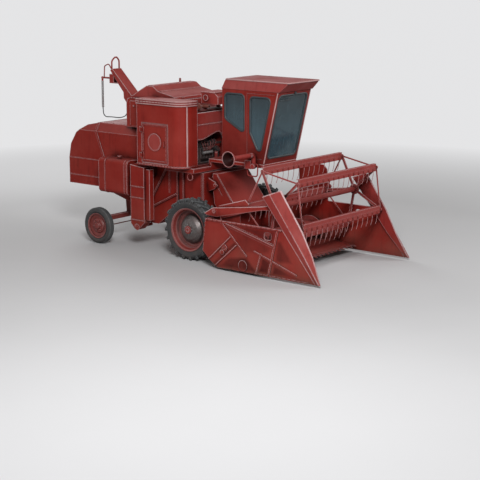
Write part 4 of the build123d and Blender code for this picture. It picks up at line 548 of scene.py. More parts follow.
def wornPaintWithLightAndShade(name, colour, faded, dark=redDark, wearAndHighlight=0.95, edge=0.030, roughness=0.50, low=1.3,
              pale=(0.50, 0.355, 0.36), shelf=0.32, pocketShade=(), throatShade=None, lowShadeHeights=None):
    # old enamel: faded patches, paler shelves, rain streaks, painted shade in corners and between ribs,
    # dust low down, pale edges partly rubbed and partly a painted highlight
    look = paintLook
    edges = {"Width": edge, "Breakup": look["breakup"], "Amount": wearAndHighlight}
    parts = wornSurfaceWithLightAndShade(name, look["plain"], edges, {"Low": low}, look["specks"])
    material, tree, shader, place, wornAndLit, dirtAndShade, fine = parts
    blotches, corner = dirtAndShade["Blotches"], dirtAndShade["CornerShade"]
    wide = noiseNode(tree, place, *look["patches"])
    upward = rampNode(tree, axisPart(tree, faceNormal(tree), "Z"), *look["turnedUpSpan"])
    turnedUp = times(tree, upward, plus(tree, blotches, look["turnedUpBase"]))
    layers = [
        (rampNode(tree, wide, *look["patchSpan"]), faded),
        (times(tree, dirtAndShade["Streaks"], look["streakShare"]), dark),
        (times(tree, rampNode(tree, fine, *look["speckSpan"]), look["speckShare"]), faded),
        (times(tree, turnedUp, shelf, clamp=True), look["turnedUp"]),
        # painted shade: darker red where the occlusion finds surfaces close by
        (times(tree, corner, look["cornerShadeShare"], clamp=True), scaled(dark, look["cornerShadeDark"])),
        (times(tree, dirtAndShade["Dust"], look["earthShare"]), look["earth"]),
    ]
    slope, least = look["pocketPatches"]
    # painted shade in the hollows between the end sheets' ribs, darkest under the ribs
    for corners, strength in pocketShade:
        patchy = plus(tree, times(tree, blotches, slope), least)
        shadeInPocket = times(tree, pocketShadeShare(tree, place, corners), patchy)
        layers.append((times(tree, shadeInPocket, strength, clamp=True), dark))
    # painted shade: the cab darker below the windows, where the engine hood shades it
    if lowShadeHeights:
        lower = rampNode(tree, axisPart(tree, place, "Z"), *lowShadeHeights)
        lowShade = times(tree, lower, plus(tree, blotches, look["lowShadeBase"]))
        layers.append((times(tree, lowShade, look["lowShadeShare"], clamp=True), dark))
    # painted shade on the inside of the bell's throat
    if throatShade:
        layers.append((throatShadeShare(tree, place, *throatShade), scaled(dark, look["throatShadeDark"])))
    exposed = minus(tree, 1.0, times(tree, corner, look["keptShare"]), clamp=True)
    # pale edges: partly rubbed paint, partly a painted highlight
    layers.append((times(tree, wornAndLit["Mask"], exposed), pale))
    rough = times(tree, plus(tree, blotches, dirtAndShade["Dust"]), look["roughShare"])
    feed(tree, shader, layered(tree, colour, layers), plus(tree, rough, roughness, clamp=True))
    height = plus(tree, times(tree, fine, look["bumpSpecks"]), wide)
    bumped(tree, shader, height, *look["bump"], wornAndLit["Rounded"])
    return material


pocketReach = {"ramp": 0.07, "outerFace": (1.715, 1.7195)}


def pocketShadeShare(tree, place, corners):
    # 1 well inside a convex pocket between ribs, given as the drawing's (x, z) and turning anticlockwise:
    # the least of the distances from its sides, ramped up, and only on the sheets' outer faces
    corners = standing(corners, 0)[:, [0, 2]]
    step = unit(np.roll(corners, -1, 0) - corners)
    least = None
    for (sx, sz), start in zip(step, corners):
        inward = (-sz, 0, sx)
        dot = vectorNode(tree, "DOT_PRODUCT", place, inward)["Value"]
        reach = minus(tree, dot, float(sx * start[1] - sz * start[0]))
        least = reach if least is None else mathNode(tree, "MINIMUM", least, reach)
    across = mathNode(tree, "ABSOLUTE", axisPart(tree, place, "Y"))
    outer = rampNode(tree, across, *pocketReach["outerFace"])
    return times(tree, rampNode(tree, least, 0.0, pocketReach["ramp"]), outer)


throatReach = {"inward": (-0.002, -0.030), "ramp": 0.05}


def throatShadeShare(tree, place, axisX, axisZ, depth):
    # 1 on faces that turn towards a pipe's axis, which runs along y, and lie further out than the depth
    split = addNode(tree, "SeparateXYZ", {0: place}).outputs
    normal = addNode(tree, "SeparateXYZ", {0: faceNormal(tree)}).outputs
    alongX = times(tree, minus(tree, split["X"], axisX), normal["X"])
    alongZ = times(tree, minus(tree, split["Z"], axisZ), normal["Z"])
    inward = rampNode(tree, plus(tree, alongX, alongZ), *throatReach["inward"])
    return times(tree, inward, rampNode(tree, split["Y"], depth, depth - throatReach["ramp"]))


def axisDistance(tree, place, axisX, axisZ):
    # distance from a wheel's axis, the root of the squares along x and z
    split = addNode(tree, "SeparateXYZ", {0: place}).outputs
    dx, dz = minus(tree, split["X"], axisX), minus(tree, split["Z"], axisZ)
    return mathNode(tree, "SQRT", plus(tree, times(tree, dx, dx), times(tree, dz, dz)))


rimLook = {
    "plain": {"Specular IOR Level": 0.45},
    "wearAndHighlight": {"Width": 0.016, "Breakup": 6.0, "Amount": 0.8},
    "dirtAndShade": {"Reach": 0.12, "Low": 1.6, "Scale": 5.0},
    "grain": (24.0, 6.0, 0.68),
    "grainSpan": (0.36, 0.66),
    "steel": ((0.155, 0.150, 0.148), (0.085, 0.075, 0.072)),
    "stain": (0.10, 0.028, 0.022),
    "red": ((0.145, 0.014, 0.011), (0.190, 0.036, 0.030)),
    "band": (0.30, 0.17, 0.165),
    "bandPitch": 0.046,
    "bandSpan": (0.55, 1.0),
    "cap": (0.20, 0.018, 0.014),
    # corner is painted shade in the disc's hollows; edge is rubbed paint and partly a painted highlight
    "corner": (0.018, 0.007, 0.005),
    "edge": (0.37, 0.27, 0.265),
    "shares": {"stain": 0.30, "corner": 1.1, "edge": 0.75},
    "soft": {"dome": 0.005, "cap": 0.004},  # how far each side of its radius the change takes
    "metallic": 0.65,
    "roughness": (0.22, 0.34),  # what blotches add, and the least
    "bump": (0.2, 0.003),
    # radius of the bare dome, radius of the red cap, strength of the pale rings painted as ridge highlights
    "wheels": {"drive": (0.335, 0.092, 0.45), "steer": (0.0, 0.0, 0.0)},
}


def rimFinish(name, axisX, axisZ):
    # wheel disc, by the distance from its axis: a red cap, a bare steel dome and red enamel outside, with
    # pale rings painted as highlights of its ridges
    look = rimLook
    dome, cap, ridgeHighlight = look["wheels"][name.split("_")[0]]
    parts = wornSurfaceWithLightAndShade(name, look["plain"], look["wearAndHighlight"], look["dirtAndShade"], look["grain"])
    material, tree, shader, place, wornAndLit, dirtAndShade, grain = parts
    radius = axisDistance(tree, place, axisX, axisZ)
    shares, soft = look["shares"], look["soft"]
    steel = rampNode(tree, radius, dome + soft["dome"], dome - soft["dome"])
    middle = rampNode(tree, radius, cap + soft["cap"], cap - soft["cap"])
    bare = twoTone(tree, grain, look["grainSpan"], look["steel"])
    bare = mixColour(tree, times(tree, dirtAndShade["Blotches"], shares["stain"]), bare, look["stain"])
    # pale rings at an even pitch: painted highlights of the disc's ridges
    ridgeHighlights = mathNode(tree, "SINE", times(tree, radius, 2 * math.pi / look["bandPitch"]))
    ridgeHighlights = times(tree, rampNode(tree, ridgeHighlights, *look["bandSpan"]), ridgeHighlight)
    red = mixColour(tree, ridgeHighlights, twoTone(tree, grain, look["grainSpan"], look["red"]), look["band"])
    base = layered(tree, red, [
        (steel, bare),
        (middle, look["cap"]),
        (times(tree, dirtAndShade["CornerShade"], shares["corner"], clamp=True), look["corner"]),
        (times(tree, wornAndLit["Mask"], shares["edge"]), look["edge"]),
    ])
    bareShare = minus(tree, steel, middle, clamp=True)
    tree.links.new(times(tree, bareShare, look["metallic"]), shader.inputs["Metallic"])
    slope, least = look["roughness"]
    feed(tree, shader, base, plus(tree, times(tree, dirtAndShade["Blotches"], slope), least))
    bumped(tree, shader, grain, *look["bump"], wornAndLit["Rounded"])
    return material


metalLook = {
    "wearAndHighlight": {"Breakup": 16.0, "Amount": 1.0},
    "dirtAndShade": {"Reach": 0.09, "Low": 0.6, "Scale": 7.0},
    "grain": (60.0, 5.0, 0.7),
    "grainSpan": (0.35, 0.7),
    "edge": (0.5, 0.49, 0.48),
    "dull": 0.6,  # times the metal's own colour
    "shares": {"corner": 0.8, "edge": 0.6, "rough": 0.3},
    "bump": (0.25, 0.003),
}


def wornMetalWithLightAndShade(name, colour, dark, roughness=0.42, metal=0.85, edge=0.006, rust=0.3,
              rustColour=(0.115, 0.045, 0.022)):
    # bare or greasy metal: brushed lightness, painted shade in corners and patches of rust, and pale edges
    # partly rubbed and partly a painted highlight
    look = metalLook
    edges = {"Width": edge, **look["wearAndHighlight"]}
    parts = wornSurfaceWithLightAndShade(name, {"Metallic": metal}, edges, look["dirtAndShade"], look["grain"])
    material, tree, shader, _, wornAndLit, dirtAndShade, grain = parts
    shares = look["shares"]
    base = layered(tree, colour, [
        (rampNode(tree, grain, *look["grainSpan"]), scaled(colour, look["dull"])),
        (times(tree, dirtAndShade["Blotches"], rust), rustColour),
        (times(tree, dirtAndShade["CornerShade"], shares["corner"]), dark),
        (times(tree, wornAndLit["Mask"], shares["edge"]), look["edge"]),
    ])
    rough = times(tree, dirtAndShade["Blotches"], shares["rough"])
    feed(tree, shader, base, plus(tree, rough, roughness, clamp=True))
    bumped(tree, shader, grain, *look["bump"], wornAndLit["Rounded"])
    return material


tyreLook = {
    "plain": {"Specular IOR Level": 0.35, "Roughness": 0.72},
    "wearAndHighlight": {"Width": 0.018, "Breakup": 8.0, "Amount": 0.7},
    "dirtAndShade": {"Reach": 0.06, "Low": 2.4, "Scale": 5.0},
    "grain": (55.0, 5.0, 0.7),
    "grainSpan": (0.35, 0.7),
    "rubber": ((0.016, 0.019, 0.021), (0.034, 0.039, 0.043)),
    "dust": (0.12, 0.085, 0.07),
    # corner is painted shade in the tyre's hollows; edge is rubbed rubber and partly a painted highlight on
    # the lugs
    "corner": (0.008, 0.008, 0.009),
    "scuffedAndLit": (0.092, 0.100, 0.104),
    "edge": (0.185, 0.200, 0.206),
    "ringPitch": 0.034,
    "flank": 0.86,  # share of the radius where the moulded rings end
    "tread": 0.94,  # and where the scuffed tread with its painted highlight begins
    "leastScuff": 0.2,
    "shares": {"dust": 0.30, "corner": 0.8, "scuffedAndLit": 0.55, "rings": 0.35},
    "bump": (0.5, 0.004),
}


def tyreRubber(name, axisX, axisZ, outer):
    # rubber, by the distance from the wheel's axis: rings moulded on the flank, a tread scuffed pale with a
    # painted highlight on it; dust
    look = tyreLook
    parts = wornSurfaceWithLightAndShade(name, look["plain"], look["wearAndHighlight"], look["dirtAndShade"], look["grain"])
    material, tree, shader, place, wornAndLit, dirtAndShade, grain = parts
    radius = axisDistance(tree, place, axisX, axisZ)
    rings = mathNode(tree, "SINE", times(tree, radius, 2 * math.pi / look["ringPitch"]))
    flank = mathNode(tree, "LESS_THAN", radius, outer * look["flank"])
    tread = rampNode(tree, radius, outer * look["tread"], outer)
    scuffedAndLit = times(tree, tread, plus(tree, dirtAndShade["Blotches"], look["leastScuff"]))
    shares = look["shares"]
    base = layered(tree, twoTone(tree, grain, look["grainSpan"], look["rubber"]), [
        (times(tree, dirtAndShade["Dust"], shares["dust"]), look["dust"]),
        (times(tree, dirtAndShade["CornerShade"], shares["corner"], clamp=True), look["corner"]),
        (times(tree, scuffedAndLit, shares["scuffedAndLit"], clamp=True), look["scuffedAndLit"]),
        (wornAndLit["Mask"], look["edge"]),
    ])
    feed(tree, shader, base)
    height = plus(tree, times(tree, times(tree, rings, flank), shares["rings"]), grain)
    bumped(tree, shader, height, *look["bump"], wornAndLit["Rounded"])
    return material


glassLook = {
    "plain": {"Transmission Weight": 0.35, "IOR": 1.45, "Specular IOR Level": 0.5},
    "film": (2.2, 6.0, 0.6),
    "paleBelowHeights": (3.95, 3.10),
    "filmWaver": 0.5,  # metres that the film's noise moves those heights
    "filmSpan": (0.3, 0.7),
    "roughness": (0.14, 0.07),  # what the film adds, and the least
    "tint": ((0.018, 0.034, 0.043), (0.044, 0.094, 0.120)),
    "drawnOut": (7.0, 7.0, 0.6),
    "streaks": (2.0, 5.0),
    "streakSpan": (0.5, 0.75),
    "streakShare": 0.3,
    "streak": (0.072, 0.130, 0.155),
}


def cabGlass():
    # greyish blue glass, paler towards the lower edge
    look = glassLook
    material, tree, shader, place = newMaterial("cabGlass", **look["plain"])
    film = noiseNode(tree, place, *look["film"])
    low = plus(tree, axisPart(tree, place, "Z"), times(tree, film, look["filmWaver"]))
    drawn = vectorNode(tree, "MULTIPLY", place, look["drawnOut"])["Vector"]
    lines = rampNode(tree, noiseNode(tree, drawn, *look["streaks"]), *look["streakSpan"])
    streaks = times(tree, lines, look["streakShare"])
    tint = mixColour(tree, streaks, twoTone(tree, low, look["paleBelowHeights"], look["tint"]), look["streak"])
    slope, least = look["roughness"]
    feed(tree, shader, tint, plus(tree, times(tree, rampNode(tree, film, *look["filmSpan"]), slope), least))
    return material


softLook = {
    "slow": (6.0, 5.0),
    "slowSpan": (0.3, 0.7),
    "paler": 1.9,
    "roughness": (0.2, -0.1),  # what the slow change adds, and what is added everywhere
    "bump": (0.3, 0.001),
}


def softCover(name, colour, scale=420.0, roughness=0.62):
    # grained vinyl or rubber: small cells and a slow change of lightness
    material, tree, shader, place = newMaterial(name)
    cells = addNode(tree, "TexVoronoi", {"Vector": place, "Scale": scale}).outputs["Distance"]
    slow = noiseNode(tree, place, *softLook["slow"])
    base = twoTone(tree, slow, softLook["slowSpan"], (colour, scaled(colour, softLook["paler"])))
    slope, offset = softLook["roughness"]
    feed(tree, shader, base, plus(tree, times(tree, slow, slope), roughness + offset))
    bumped(tree, shader, cells, *softLook["bump"])
    return material


def floorMaterial():
    # matt pale paint that turns into the backdrop's colour by the distance from the middle
    material, tree, shader, place = newMaterial("studioFloorPaint", Roughness=0.9)
    pale = studio["floor"]
    noise = noiseNode(tree, place, *studio["floorNoise"])
    pair = (pale, scaled(pale, studio["floorPaler"]))
    feed(tree, shader, twoTone(tree, noise, studio["floorSpan"], pair))
    far = vectorNode(tree, "LENGTH", place)["Value"]
    share = times(tree, rampNode(tree, far, *studio["floorFade"]), seenRay(tree))
    glow = addNode(tree, "Emission", {"Color": (*studio["backdrop"], 1), "Strength": 1.0})
    mix = addNode(tree, "MixShader", {0: share, 1: shader.outputs[0], 2: glow.outputs[0]})
    output = next(n for n in tree.nodes if n.type == "OUTPUT_MATERIAL")
    tree.links.new(mix.outputs[0], output.inputs["Surface"])
    return material


# hollows between the end sheets' ribs, given painted shade: corners as the drawing's (x, z), and how dark
sheetPocketShade = [
    ([(1600, 720), (970, 150), (1060, 70), (1690, 640)], 1.00),
    ([(1120, 70), (2190, 70), (2300, 470), (1960, 420), (1760, 640)], 0.85),
    ([(1330, 1070), (1290, 1050), (1900, 470), (2560, 540), (2640, 700)], 0.45),
    ([(1420, 1080), (2650, 760), (2760, 1080)], 0.85),
    ([(2230, 90), (2530, 90), (2610, 400), (2350, 480)], 1.00),
    ([(2600, 90), (3480, 90), (2660, 370)], 0.80),
    ([(2700, 380), (3220, 400), (2860, 900), (2740, 860)], 0.75),
]
# enamel, faded enamel, and what differs from the plain paint
paintTable = {
    "bodyPaint": (redDeep, redFaded, {}),
    "doorPaint": (redDeep, redFaded, {"edge": 0.013}),
    # brighter than the body's enamel: a painted lit copy of it for the hood and its neighbours, which stand
    # in the cab's shade
    "litHoodPaint": ((0.235, 0.022, 0.018), (0.285, 0.048, 0.042), {"edge": 0.028}),
    "bellPaint": (
        (0.225, 0.022, 0.018), (0.270, 0.046, 0.041), {"edge": 0.020, "throatShade": (1.460, 2.410, -1.18)},
    ),
    "headerPaint": (
        (0.198, 0.0115, 0.0078), (0.238, 0.028, 0.021),
        {"edge": 0.020, "low": 0.9, "pocketShade": sheetPocketShade},
    ),
    # the wide edges of the next two paint broad pale bands on the feeder, the reel arms and the divider's
    # ridge: painted highlights
    "feederPaint": ((0.210, 0.014, 0.010), (0.255, 0.032, 0.025), {"edge": 0.034, "low": 0.7}),
    "snoutPaint": ((0.215, 0.020, 0.017), (0.255, 0.040, 0.035), {"edge": 0.046, "low": 0.7}),
    "reelPaint": (
        (0.230, 0.030, 0.026), (0.265, 0.054, 0.048),
        {"edge": 0.012, "low": 0.4, "wearAndHighlight": 0.85, "shelf": 0.12},
    ),
    "cabPaint": (
        (0.175, 0.010, 0.0065), (0.210, 0.024, 0.018),
        {"edge": 0.012, "wearAndHighlight": 0.40, "lowShadeHeights": (3.15, 2.45)},
    ),
    "roofPaint": (
        (0.225, 0.032, 0.029), (0.270, 0.064, 0.058), {"edge": 0.012, "wearAndHighlight": 0.5, "shelf": 0.05},
    ),
    "framePaint": (
        (0.15, 0.018, 0.015), (0.19, 0.040, 0.035),
        {"dark": (0.04, 0.008, 0.007), "edge": 0.014, "low": 1.6},
    ),
    "rivetPaint": (redDeep, redFaded, {"edge": 0.003, "wearAndHighlight": 0.35}),
    # pale paint for the beads and rings: painted highlight lines
    "highlightPaint": (
        (0.37, 0.20, 0.198), (0.46, 0.31, 0.308), {"dark": (0.15, 0.03, 0.026), "edge": 0.006, "wearAndHighlight": 0.6},
    ),
}
paints = {
    name: wornPaintWithLightAndShade(name, colour, faded, **more) for name, (colour, faded, more) in paintTable.items()
}
# bare metal, the dark of its painted corner shade, and what differs from the plain metal
metalTable = {
    "engineIron": (
        (0.052, 0.050, 0.050), (0.008, 0.006, 0.006),
        {"roughness": 0.5, "metal": 0.25, "rust": 0.75, "rustColour": (0.095, 0.018, 0.013)},
    ),
    "bareSteel": ((0.36, 0.355, 0.36), (0.05, 0.045, 0.04), {"roughness": 0.34, "rust": 0.35}),
    "chromeRod": ((0.62, 0.62, 0.63), (0.1, 0.09, 0.08), {"roughness": 0.16, "metal": 1.0, "rust": 0.05}),
    "exhaustSteel": (
        (0.20, 0.042, 0.034), (0.03, 0.010, 0.008), {"roughness": 0.55, "metal": 0.15, "rust": 0.45},
    ),
}
metals = {
    name: wornMetalWithLightAndShade(name, colour, dark, **more) for name, (colour, dark, more) in metalTable.items()
}
glassMaterial = cabGlass()
vinyl = softCover("blackVinyl", (0.022, 0.021, 0.020))
hoseRubber = softCover("hoseRubber", (0.020, 0.020, 0.021), scale=900.0)
gasketRubber = softCover("gasketRubber", (0.012, 0.017, 0.020), scale=700.0, roughness=0.5)

# CAD nodes by the start of their names; the first row that fits is used
finishes = [
    (("engine_hood", "rear_mast", "tank_cover", "air_box"), paints["litHoodPaint"]),
    (("engine_block",), metals["engineIron"]),
    (("engine_belts", "hose_spring"), metals["bareSteel"]),
    (("muffler",), metals["exhaustSteel"]),
    (("lift_rods",), metals["chromeRod"]),
    (("bell_pipe",), paints["bellPaint"]),
    (("radiator_door",), paints["doorPaint"]),
    (("cab_glass", "door_glass"), glassMaterial),
    (("cab_roof",), paints["roofPaint"]),
    (("cab",), paints["cabPaint"]),
    (("steering_column", "mast_hose"), hoseRubber),
    (("seat",), vinyl),
    (("tie_rod", "knuckle", "main_axle", "steer_axle", "side_struts"), paints["framePaint"]),
    (("feeder_house", "reel_arms"), paints["feederPaint"]),
    (("header_auger", "cutterbar", "reel"), paints["reelPaint"]),
    (("header", "end_sheet", "lift_cylinders"), paints["headerPaint"]),
    (("divider",), paints["snoutPaint"]),
    (("",), paints["bodyPaint"]),
]


def paintNodes():
    for name, node in nodes.items():
        low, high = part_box(name)
        axisX, axisZ = (low.x + high.x) / 2, (low.z + high.z) / 2
        if "tyre" in name:
            material = tyreRubber(name + "Rubber", axisX, axisZ, high.z - axisZ)
        elif "rim" in name:
            material = rimFinish(name + "Finish", axisX, axisZ)
        else:
            material = next(m for starts, m in finishes if name.startswith(starts))
        node.data.materials.clear()
        node.data.materials.append(material)


# Hose on the rear mast

hose = {
    "radius": 0.012,
    "roundness": 4,  # Blender's bevel resolution
    "steps": 16,  # along each piece of the curve
    "across": -0.375,
    "route": [  # x, z in metres, from the fitting at the mast's top down and forward to its end
        (-3.380, 3.760), (-3.380, 3.450), (-3.386, 3.155), (-3.360, 2.885),
        (-3.095, 2.905), (-2.790, 2.895), (-2.540, 2.995), (-2.540, 3.235),
    ],
}


def makeHose():
    # a round section along a curve that is blended piece by piece from three neighbouring points
    curve = bpy.data.curves.new("mastHoseCord", "CURVE")
    curve.dimensions = "3D"
    curve.bevel_depth = hose["radius"]
    curve.bevel_resolution = hose["roundness"]
    curve.resolution_u = hose["steps"]
    curve.use_fill_caps = True
    spline = curve.splines.new("NURBS")
    spline.points.add(len(hose["route"]) - 1)
    for point, (x, z) in zip(spline.points, hose["route"]):
        point.co = (x, hose["across"], z, 1)
    spline.order_u = 3
    spline.use_endpoint_u = True
    made = bpy.data.objects.new("mastHoseCord", curve)
    bpy.context.scene.collection.objects.link(made)
    made.data.materials.append(hoseRubber)
    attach(made, "chassis")
    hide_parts("mast_hose")
    x, z = hose["route"][0]
    hoseLength(curve)


def hoseLength(curve):
    # length of the spline, from the points of the same curve with no bevel
    bare = curve.copy()
    bare.bevel_depth = 0
    holder = bpy.data.objects.new("bareLine", bare)
    mesh = bpy.data.meshes.new_from_object(holder)
    place = np.zeros(len(mesh.vertices) * 3)
    mesh.vertices.foreach_get("co", place)
    steps = np.diff(place.reshape(-1, 3), axis=0)
    bpy.data.meshes.remove(mesh)
    bpy.data.objects.remove(holder)
    bpy.data.curves.remove(bare)
    return float(np.linalg.norm(steps, axis=1).sum())


# Rivets: start, end, how many and the way they face, in the drawing's millimetres

sheetRivets = {
    "radius": 0.011,
    "high": 0.007,
    "rightOnly": [
        # tank: rim flange and two lines down its side
        ((-2310, -808, 3467), (-1100, -808, 3467), 15, right),
        ((-2300, -798, 2840), (-2300, -798, 3370), 8, right),
        ((-1670, -798, 2840), (-1670, -798, 3370), 8, right),
        # radiator box: cap band, foot band and rear edge
        ((-1570, -1354, 3488), (-570, -1354, 3488), 12, right),
        ((-1570, -1348, 2048), (-570, -1348, 2048), 12, right),
        ((-1560, -1340, 2200), (-1560, -1340, 3340), 9, right),
        # upper body
        ((-3080, -820, 2030), (-1700, -820, 2030), 14, right),
        ((-3080, -820, 2545), (-1700, -820, 2545), 14, right),
    ],
    "bothSides": [
        # straw hood and the body's shoulders
        ((-4330, -820, 1330), (-3260, -820, 1330), 11, right),
        ((-3270, -820, 2080), (-3500, -820, 2620), 7, right),
        ((-3080, -580, 2780), (-2500, -580, 2780), 6, above),
    ],
}
headerRivets = {
    "radius": 0.012,
    "high": 0.008,
    "bothSides": [
        ((760, -1720, 1000), (730, -1720, 480), 6, right),
        ((1010, -1720, 150), (1130, -1720, 95), 2, right),
        ((1500, -1732, 75), (3400, -1732, 75), 16, right),
        ((860, -1738, 1095), (2750, -1738, 1095), 15, right),
    ],
}


def bothSides(rows):
    # rows of (start, end, count, way) and their mirror images across the plane y = 0
    flip = np.array([1, -1, 1])
    return rows + [(np.array(a) * flip, np.array(b) * flip, n, np.array(v) * flip) for a, b, n, v in rows]


def makeRivetRows(name, rows, look, body):
    # heads at even steps from each row's start to its end
    places = np.vstack([np.linspace(a, b, n) for a, b, n, _ in rows])
    ways = np.vstack([np.tile(v, (n, 1)) for _, _, n, v in rows])
    heads = boltHeads(inFrame(places), ways, look["radius"], look["high"], sides=8)
    addPiece(name, heads, paints["rivetPaint"], body)


def makeRivets():
    rows = sheetRivets["rightOnly"] + bothSides(sheetRivets["bothSides"])
    makeRivetRows("sheetRivets", rows, sheetRivets, "chassis")
    makeRivetRows("headerRivets", bothSides(headerRivets["bothSides"]), headerRivets, "header")


# Wheel nuts, in rings round the hubs, and the raised ring on the drive wheels' caps, painted pale as a
# highlight

wheelNuts = {
    # body: axis x and z, face y, ring radius, nuts, nut radius and height
    "drive_wheel_right": (0, 700, -1394, 0.112, 8, 0.013, 0.016),
    "drive_wheel_left": (0, 700, 1394, 0.112, 8, 0.013, 0.016),
    "steer_wheel_right": (-2890, 430, -1386, 0.120, 6, 0.019, 0.020),
    "steer_wheel_left": (-2890, 430, 1386, 0.120, 6, 0.019, 0.020),
}
firstNut = 0.2  # radians round from straight ahead
capRing = {"face": 1427, "radius": 0.046, "wide": 0.014, "deep": 0.012, "steps": 32}


def makeWheelNuts():
    # nuts at even angles: centre plus the ring's radius times (cos, 0, sin)
    for body, (x, z, y, ring, count, radius, high) in wheelNuts.items():
        side = np.sign(y)
        turn = evenAngles(count) + firstNut
        places = inFrame([(x, y, z)]) + ring * np.stack([np.cos(turn), 0 * turn, np.sin(turn)], axis=1)
        drives = body.startswith("drive")
        finish = metals["bareSteel"] if drives else paints["reelPaint"]
        nuts = boltHeads(places, np.tile([0, side, 0], (count, 1)), radius, high)
        addPiece("wheelNuts." + body, nuts, finish, body)
        if drives:
            circle = capRing["radius"] * ringRound(ahead, above, capRing["steps"])[0]
            path = inFrame([(x, side * capRing["face"], z)]) + circle
            band = sweep(path, (0, side, 0), capRing["wide"], capRing["deep"], closed=True)
            addPiece("capRing." + body, band, paints["highlightPaint"], body, smooth=True)


# Clips that hold the tines on the bats

tineClips = {
    "count": 15,
    "pitch": 190,
    "reel": (2520, 1520),  # x, z of the reel's axis
    "radius": 810,
    "bats": 5,
    "firstTurn": 43.7,  # degrees to the first bat
    "from": (16, -58),  # x, z from a bat's axis to its clips
    "plate": (0.005, 0.020, 0.026),
    "screw": ((0.005, 0, 0.008), 0.009, 0.007),  # place on the plate, radius and height
}


def makeTineClips():
    # clips at even steps along each bat; the bats' axes lie at even angles on a circle
    number = tineClips["count"]
    y = (np.arange(number) - (number - 1) / 2) * tineClips["pitch"]
    (reelX, reelZ), (dx, dz) = tineClips["reel"], tineClips["from"]
    place, radius, high = tineClips["screw"]
    for k in range(tineClips["bats"]):
        turn = math.radians(tineClips["firstTurn"] + 360 / tineClips["bats"] * k)
        x = reelX + tineClips["radius"] * math.cos(turn) + dx
        z = reelZ + tineClips["radius"] * math.sin(turn) + dz
        middle = inFrame(np.stack([np.full(number, x), y, np.full(number, z)], axis=1))
        screws = boltHeads(middle + np.array(place), np.tile(ahead, (number, 1)), radius, high)
        clips = joined([boxPoints(middle, tineClips["plate"]), screws])
        addPiece(f"tineClips.bat{k + 1}", clips, paints["rivetPaint"], f"bat_{k + 1}")


# Pointed guards in front of the knife

guards = {
    "pitch": 152.4,
    "half": 1600,
    "line": [(2360, 174), (2400, 176), (2450, 170), (2488, 158)],  # x, z from the root to the drooped tip
    "radii": (0.013, 0.013, 0.00936, 0.00325),
}


def makeGuards():
    # each guard is a cone with a drooped tip: rings of falling radius along a line that dips at its end
    count = int(2 * guards["half"] / guards["pitch"])
    places = (np.arange(count) - (count - 1) / 2) * guards["pitch"]
    cones = [tube(standing(guards["line"], y), guards["radii"], sides=8) for y in places]
    addPiece("knifeGuards", joined(cones), paints["reelPaint"], "header", smooth=True)


# Cab: rubber round its panes, rain lip, beads down the front posts, wiper

cab = {
    "middle": 110,
    "half": 600,
    "wall": 40,
    "front": ((1430, 2200), (1820, 3820)),  # x, z of the sloping front's foot and top
    "rubber": (0.058, 0.060),
}


def cabFront(z):
    # x of the sloping front at a height, in the drawing's millimetres
    (x0, z0), (x1, z1) = cab["front"]
    return x0 + (np.asarray(z, float) - z0) / (z1 - z0) * (x1 - x0)


(footX, footZ), (topX, topZ) = cab["front"]
frontWay = (topZ - footZ, 0, footX - topX)  # across the sloping front, outwards

# outlines as x, z with a radius for each corner
doorPane = [
    (1040, 2880, 0.098), (1250, 2500, 0.098), (cabFront(2500) - 160, 2500, 0.060),
    (cabFront(3680) - 160, 3680, 0.098), (1040, 3680, 0.098),
]
quarterPane = [
    (315, 3150, 0.098), (780, 2905, 0.050), (870, 2905, 0.050), (870, 3720, 0.098), (315, 3720, 0.098),
]
windscreen = {"heights": (2330, 3740), "half": 520, "inset": 20, "corner": 0.11}
rearPane = {"x": 260, "heights": (2900, 3700), "half": 420, "corner": 0.04}


def makeGaskets():
    # each gasket is an ellipse carried round its pane's outline, with the corners as arcs
    fixed = []
    for side in (-1, 1):
        y = cab["middle"] + side * (cab["half"] - cab["wall"] / 2)
        for outline in (doorPane, quarterPane):
            corners = standing([(x, z) for x, z, _ in outline], y)
            line = roundedLoop(corners, np.array([radius for _, _, radius in outline]))
            loop = sweep(line, (0, side, 0), *cab["rubber"], closed=True)
            if outline is doorPane and side > 0:
                addPiece("doorGasket", loop, gasketRubber, "cab_door", smooth=True)
            else:
                fixed.append(loop)
    (low, top), half = windscreen["heights"], windscreen["half"]
    corners = [(low, -half), (low, half), (top, half), (top, -half)]
    corners = inFrame([(cabFront(z) - windscreen["inset"], cab["middle"] + y, z) for z, y in corners])
    fixed.append(sweep(roundedLoop(corners, windscreen["corner"]), frontWay, *cab["rubber"], closed=True))
    (low, top), half = rearPane["heights"], rearPane["half"]
    corners = [(-half, low), (half, low), (half, top), (-half, top)]
    corners = inFrame([(rearPane["x"], cab["middle"] + y, z) for y, z in corners])
    fixed.append(sweep(roundedLoop(corners, rearPane["corner"]), (-1, 0, 0), *cab["rubber"], closed=True))
    addPiece("paneGaskets", joined(fixed), gasketRubber, smooth=True)


cabBeads = {
    "roof": (313, 2086, -447, 667, 4028),  # rear, front, right, left, height
    "roofCorner": 0.030,
    "lipWide": 0.034,
    "postHeights": (2225, 2240, 3790, 3806),
    "postInset": 5,
    "postWide": 0.028,
}


def makeCabBeads():
    # a round section carried round the roof's upper edge, and the same up both front posts, painted pale as
    # highlight lines
    rear, front, low, high, z = cabBeads["roof"]
    corners = inFrame([(rear, low, z), (front, low, z), (front, high, z), (rear, high, z)])
    wide = cabBeads["lipWide"]
    parts = [sweep(roundedLoop(corners, cabBeads["roofCorner"]), above, wide, wide, closed=True)]
    z, inset, wide = np.array(cabBeads["postHeights"], float), cabBeads["postInset"], cabBeads["postWide"]
    for side in (-1, 1):
        y = cab["middle"] + side * (cab["half"] - inset)
        path = inFrame(np.stack([cabFront(z) - inset, 0 * z + y, z], axis=1))
        parts.append(sweep(path, (1, side, 0), wide, wide))
    addPiece("cabBeads", joined(parts), paints["highlightPaint"], smooth=True)


